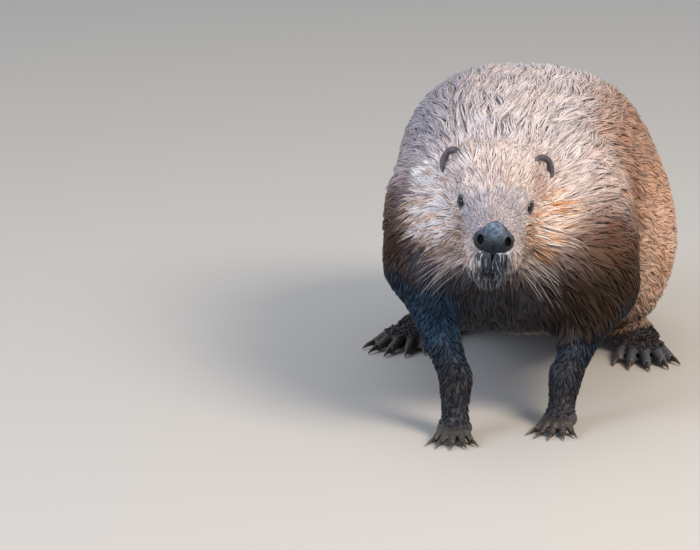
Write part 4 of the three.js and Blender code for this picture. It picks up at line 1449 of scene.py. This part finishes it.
EAR_CENTRE = (46.5, 60, 16.5)
EAR_AXES = turn_matrix("Y", 20) @ turn_matrix("Z", 32) @ turn_matrix("X", -32)
EAR_SHELL = ((0, 1.5, 0), (14.5, 9, 17))  # in the ear's own axes: centre and radii
EAR_HOLLOW = ((-1.6, -4.5, -1.2), (10.6, 9.6, 12.9))


def out_of_ear(points):
    return points @ EAR_AXES.T + EAR_CENTRE


def ear_field(points):
    """The left ear in its own axes: a small, thin, rounded cup that opens forward."""
    field = smooth_max(ellipsoid(points, *EAR_SHELL), -ellipsoid(points, *EAR_HOLLOW), 1.4)
    rim = 0.05 * points[:, 2] - 3.2 + 0.6 * np.maximum(-points[:, 0] - 4, 0)
    field = smooth_max(field, rim - points[:, 1], 1.4)
    return field + 0.35 * waves(points, 11, 22)


def add_ears():
    axes = (stretches(-17, (17, 0.9)), stretches(-8, (13, 0.8)), stretches(-19, (19, 0.9)))
    points, faces = shape_of(ear_field, axes)
    add_both("ear_cup", out_of_ear(points), faces, ear_material(), replaced="ear")


EAR_LOCKS = 170  # in each ear
EAR_LOCK_WIDTH, EAR_LOCK_SPREAD = 0.9, 1.7


def add_ear_hair():
    """Locks from inside each cup and in front of it, which leave only the rim bare."""
    turn, reach = random.uniform(0, math.tau, EAR_LOCKS), np.sqrt(random.random(EAR_LOCKS)) * 0.8
    x, z = reach * np.cos(turn) * 10.6 - 3.6, reach * np.sin(turn) * 12.8 - 3.6
    roots = np.column_stack([x, 4.2 - 9.0 * reach**2 * 0.5, z])
    step = (np.arange(STEPS + 1) / STEPS)[None, :, None]
    way = np.column_stack([0.25 * x - 1.5 + random.normal(size=EAR_LOCKS), np.full(EAR_LOCKS, -4.0),
                           random.uniform(7.0, 12.0, EAR_LOCKS) * (1 - 0.3 * ease(z, 0, 9))])
    lines = roots[:, None] + way[:, None] * step + np.array([0, 3.0, 0]) * step**2
    normals = np.broadcast_to(np.array([0, -1.0, 0]), lines.shape)
    width, spread = np.full(EAR_LOCKS, EAR_LOCK_WIDTH), np.full(EAR_LOCKS, EAR_LOCK_SPREAD)
    points = hairs_of(lines, normals, width, spread, SHORT_HAIRS, SHORT_RINGS)
    count, each = points.shape[:2]
    faces = repeated(hair_faces(SHORT_RINGS), each, count)
    values = {mark: np.full(count * each, value) for mark, value in zip(COAT_MARKS, (0.55, 0.15, 0.0, 1.0))}
    values["along"] = np.tile(along_hair(SHORT_RINGS), count)
    values["chance"] = np.repeat(random.random(count), each)
    points = out_of_ear(points.reshape(-1, 3))
    add_both("ear_hair", points, faces, wet_hair, values, out_of_ear(roots))


add_nose()
add_eyes()
add_ears()
add_ear_hair()

# ------------------------------------------------------------------ claws, whiskers and tail scales


def tapered(lines, radii, sides, flat=1.0):
    """Closed, tapered rods along lines of points; the faces, and how far along each point is."""
    count, steps = lines.shape[:2]
    along = unit(np.gradient(lines, axis=1))
    aside = unit(np.cross(along, (0, 0, 1)))
    up = np.cross(aside, along)
    turn = np.arange(sides) * math.tau / sides
    spoke = aside[:, :, None] * np.cos(turn)[:, None] * flat + up[:, :, None] * np.sin(turn)[:, None]
    points = lines[:, :, None] + spoke * np.broadcast_to(radii, (count, steps))[:, :, None, None]
    points = points[:, :-1].reshape(count, -1, 3)
    points = np.concatenate([points, lines[:, :1], lines[:, -1:]], axis=1)
    faces = repeated(closed_tube(steps - 1, sides)[:, ::-1], (steps - 1) * sides + 2, count)
    share = np.concatenate([np.repeat(np.linspace(0, 1, steps)[:-1], sides), (0, 1)])
    return points.reshape(-1, 3), faces, np.tile(share, count)


FORE_CLAW = dict(length=13, radius=2.4)
HIND_CLAW = dict(length=15, radius=3.4)
CLAW_SHARE = np.linspace(0, 1, 9)  # how far along a claw each of its rings is
CLAW_TIP_HEIGHT = 0.9  # over the floor
CLAW_TAPER, CLAW_SIDES, CLAW_FLATNESS = 0.86, 12, 0.72


def claw_lines(toes, radius, claw):
    """Each claw leaves the toe's tip level and curves down to the floor."""
    lines = []
    for _, _, tip, way in toes:
        root = tip + way * radius * 0.45
        line = root + way * ((claw["length"] + radius * 0.25) * CLAW_SHARE)[:, None]
        drop = max(tip[2], claw["radius"]) - CLAW_TIP_HEIGHT
        line[:, 2] = CLAW_TIP_HEIGHT + drop * (1 - CLAW_SHARE**2.2)
        lines.append(line)
    return np.array(lines)


def add_claws():
    material = claw_material()
    for kind, legs, toes_of, toes, claw in (
        ("fore", FORELEGS, fore_toes, FORE_TOES, FORE_CLAW),
        ("hind", HIND_LEGS, hind_toes, HIND_TOES, HIND_CLAW),
    ):
        for name, leg in legs.items():
            lines = claw_lines(toes_of(leg), toes["radius"], claw)
            radii = claw["radius"] * (1 - CLAW_TAPER * CLAW_SHARE**1.6)
            points, faces, along = tapered(lines, radii, CLAW_SIDES, CLAW_FLATNESS)
            piece = make_piece(f"claws_{kind}_{name}", points, faces, material, dict(along=along))
            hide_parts(*(f"{kind}_claw_{name}_{number}" for number in range(1, 6)))


WHISKERS = 17  # on each side
WHISKER_RADIUS, WHISKER_LENGTHS = 0.42, (34, 68)
WHISKER_BED = ((15, 27), (-58, -42), (-44, -24))  # the least and most of each axis, in the head's axes


def add_whiskers():
    """Long bristles from the whisker pads, swept back and hanging."""
    share = np.linspace(0, 1, 10)[:, None]
    lines = []
    for side in SIDES.values():
        for _ in range(WHISKERS):
            root = np.array([random.uniform(*span) for span in WHISKER_BED])
            length = random.uniform(*WHISKER_LENGTHS)
            way = unit(np.array([0.9, random.uniform(-0.35, 0.3), random.uniform(-0.75, -0.05)]))
            line = root + way * length * share + share**2 * np.array([-0.08, 0.28, -0.34]) * length
            lines.append(from_folded(line, side))
    points, faces, along = tapered(np.array(lines), WHISKER_RADIUS * (1 - 0.8 * share[:, 0]), 4)
    make_piece("whiskers", points, faces, whisker_material(), dict(along=along))


SCALE_PITCH = 7.4
SCALE_POINTS = 13  # of a scale: a rim, an upper ring and its middle


def add_tail_scales():
    """Rows of horny six-sided scales over the tail's top, each a low dome that dips behind the last."""
    rows = np.arange(TAIL_START + 4, TAIL_START + TAIL_LENGTH - 3, SCALE_PITCH * 0.8)
    centres = []
    for number, y in enumerate(rows):
        half = TAIL_HALF_WIDTH * tail_outline(y) - 2.5
        across = np.arange(-80, 80) * SCALE_PITCH + (number % 2) * SCALE_PITCH / 2
        for x in across[np.abs(across) < half]:
            centres.append((x + tail_drift(y), y))
    centres = np.array(centres) + random.normal(scale=0.35, size=(len(centres), 2))
    turn = np.arange(6) * math.tau / 6 + math.tau / 12
    rim = np.column_stack([np.cos(turn), np.sin(turn)])
    size = SCALE_PITCH * 0.56 * random.uniform(0.92, 1.06, (len(centres), 1, 1))
    flat = np.concatenate([rim * size, rim * size * 0.72, np.zeros((len(centres), 1, 2))], axis=1)
    rise = np.concatenate([np.full(6, -0.9), np.full(6, 0.85), [1.15]])
    forward = np.concatenate([rim, rim * 0.72, [(0, 0)]])[:, 1]
    points = np.empty((len(centres), SCALE_POINTS, 3))
    points[..., :2] = centres[:, None] + flat
    points[..., 2] = 16
    points = settle(skin_field, points.reshape(-1, 3), 4, 12)
    gradient = unit(slope(skin_field, points)[1])
    points = points + gradient * np.tile(rise + 0.35 * forward, len(centres))[:, None]
    points[:, 2] = np.maximum(points[:, 2], 0.3)
    ring = [(c, (c + 1) % 6) for c in range(6)]
    faces = [(a, b, b + 6) for a, b in ring] + [(a, b + 6, a + 6) for a, b in ring]
    faces += [(a + 6, b + 6, 12) for a, b in ring]
    faces = repeated(np.array(faces), SCALE_POINTS, len(centres))
    chance = np.repeat(random.random(len(centres)), SCALE_POINTS)
    make_piece("tail_scales", points, faces, tail_material(), dict(chance=chance))


add_claws()
add_whiskers()
add_tail_scales()

# ------------------------------------------------------------------ floor and light


FLOOR_REACH = 6.0


def add_floor():
    data = bpy.data.meshes.new("floor")
    corners = [(x * FLOOR_REACH, y * FLOOR_REACH, 0) for x, y in ((-1, -1), (1, -1), (1, 1), (-1, 1))]
    data.from_pydata(corners, [], [(0, 1, 2, 3)])
    floor = bpy.data.objects.new("floor", data)
    bpy.context.scene.collection.objects.link(floor)
    data.materials.append(finish(new_material("matt studio floor")[0], Base_Color="#b4b2af", Roughness=0.9))


LAMP_AIM = (0, 0.1, 0.15)
LAMPS = {  # place, size, power and colour
    "key": ((1.9, -1.6, 2.2), 1.2, 106, "#ffecd6"),
    "fill": ((-2.2, -2.2, 1.4), 1.8, 68, "#dce5fa"),
    "top": ((-0.2, 0.9, 2.8), 1.6, 12, "#fff6ee"),
}


def add_lamp(name, place, size, power, colour):
    data = bpy.data.lights.new(name, "AREA")
    data.size = size
    data.energy = power
    data.color = linear(colour)[:3]
    lamp = bpy.data.objects.new(name, data)
    lamp.location = place
    lamp.rotation_euler = (Vector(LAMP_AIM) - Vector(place)).to_track_quat("-Z", "Y").to_euler()
    bpy.context.scene.collection.objects.link(lamp)


def add_light():
    world = bpy.data.worlds.new("studio")
    world.use_nodes = True
    sky = world.node_tree.nodes["Background"].inputs
    sky["Color"].default_value = linear("#e4ebf2")
    sky["Strength"].default_value = 0.68
    bpy.context.scene.world = world
    for name, lamp in LAMPS.items():
        add_lamp(name, *lamp)


add_floor()
add_light()
bpy.context.scene.view_settings.view_transform = "Standard"
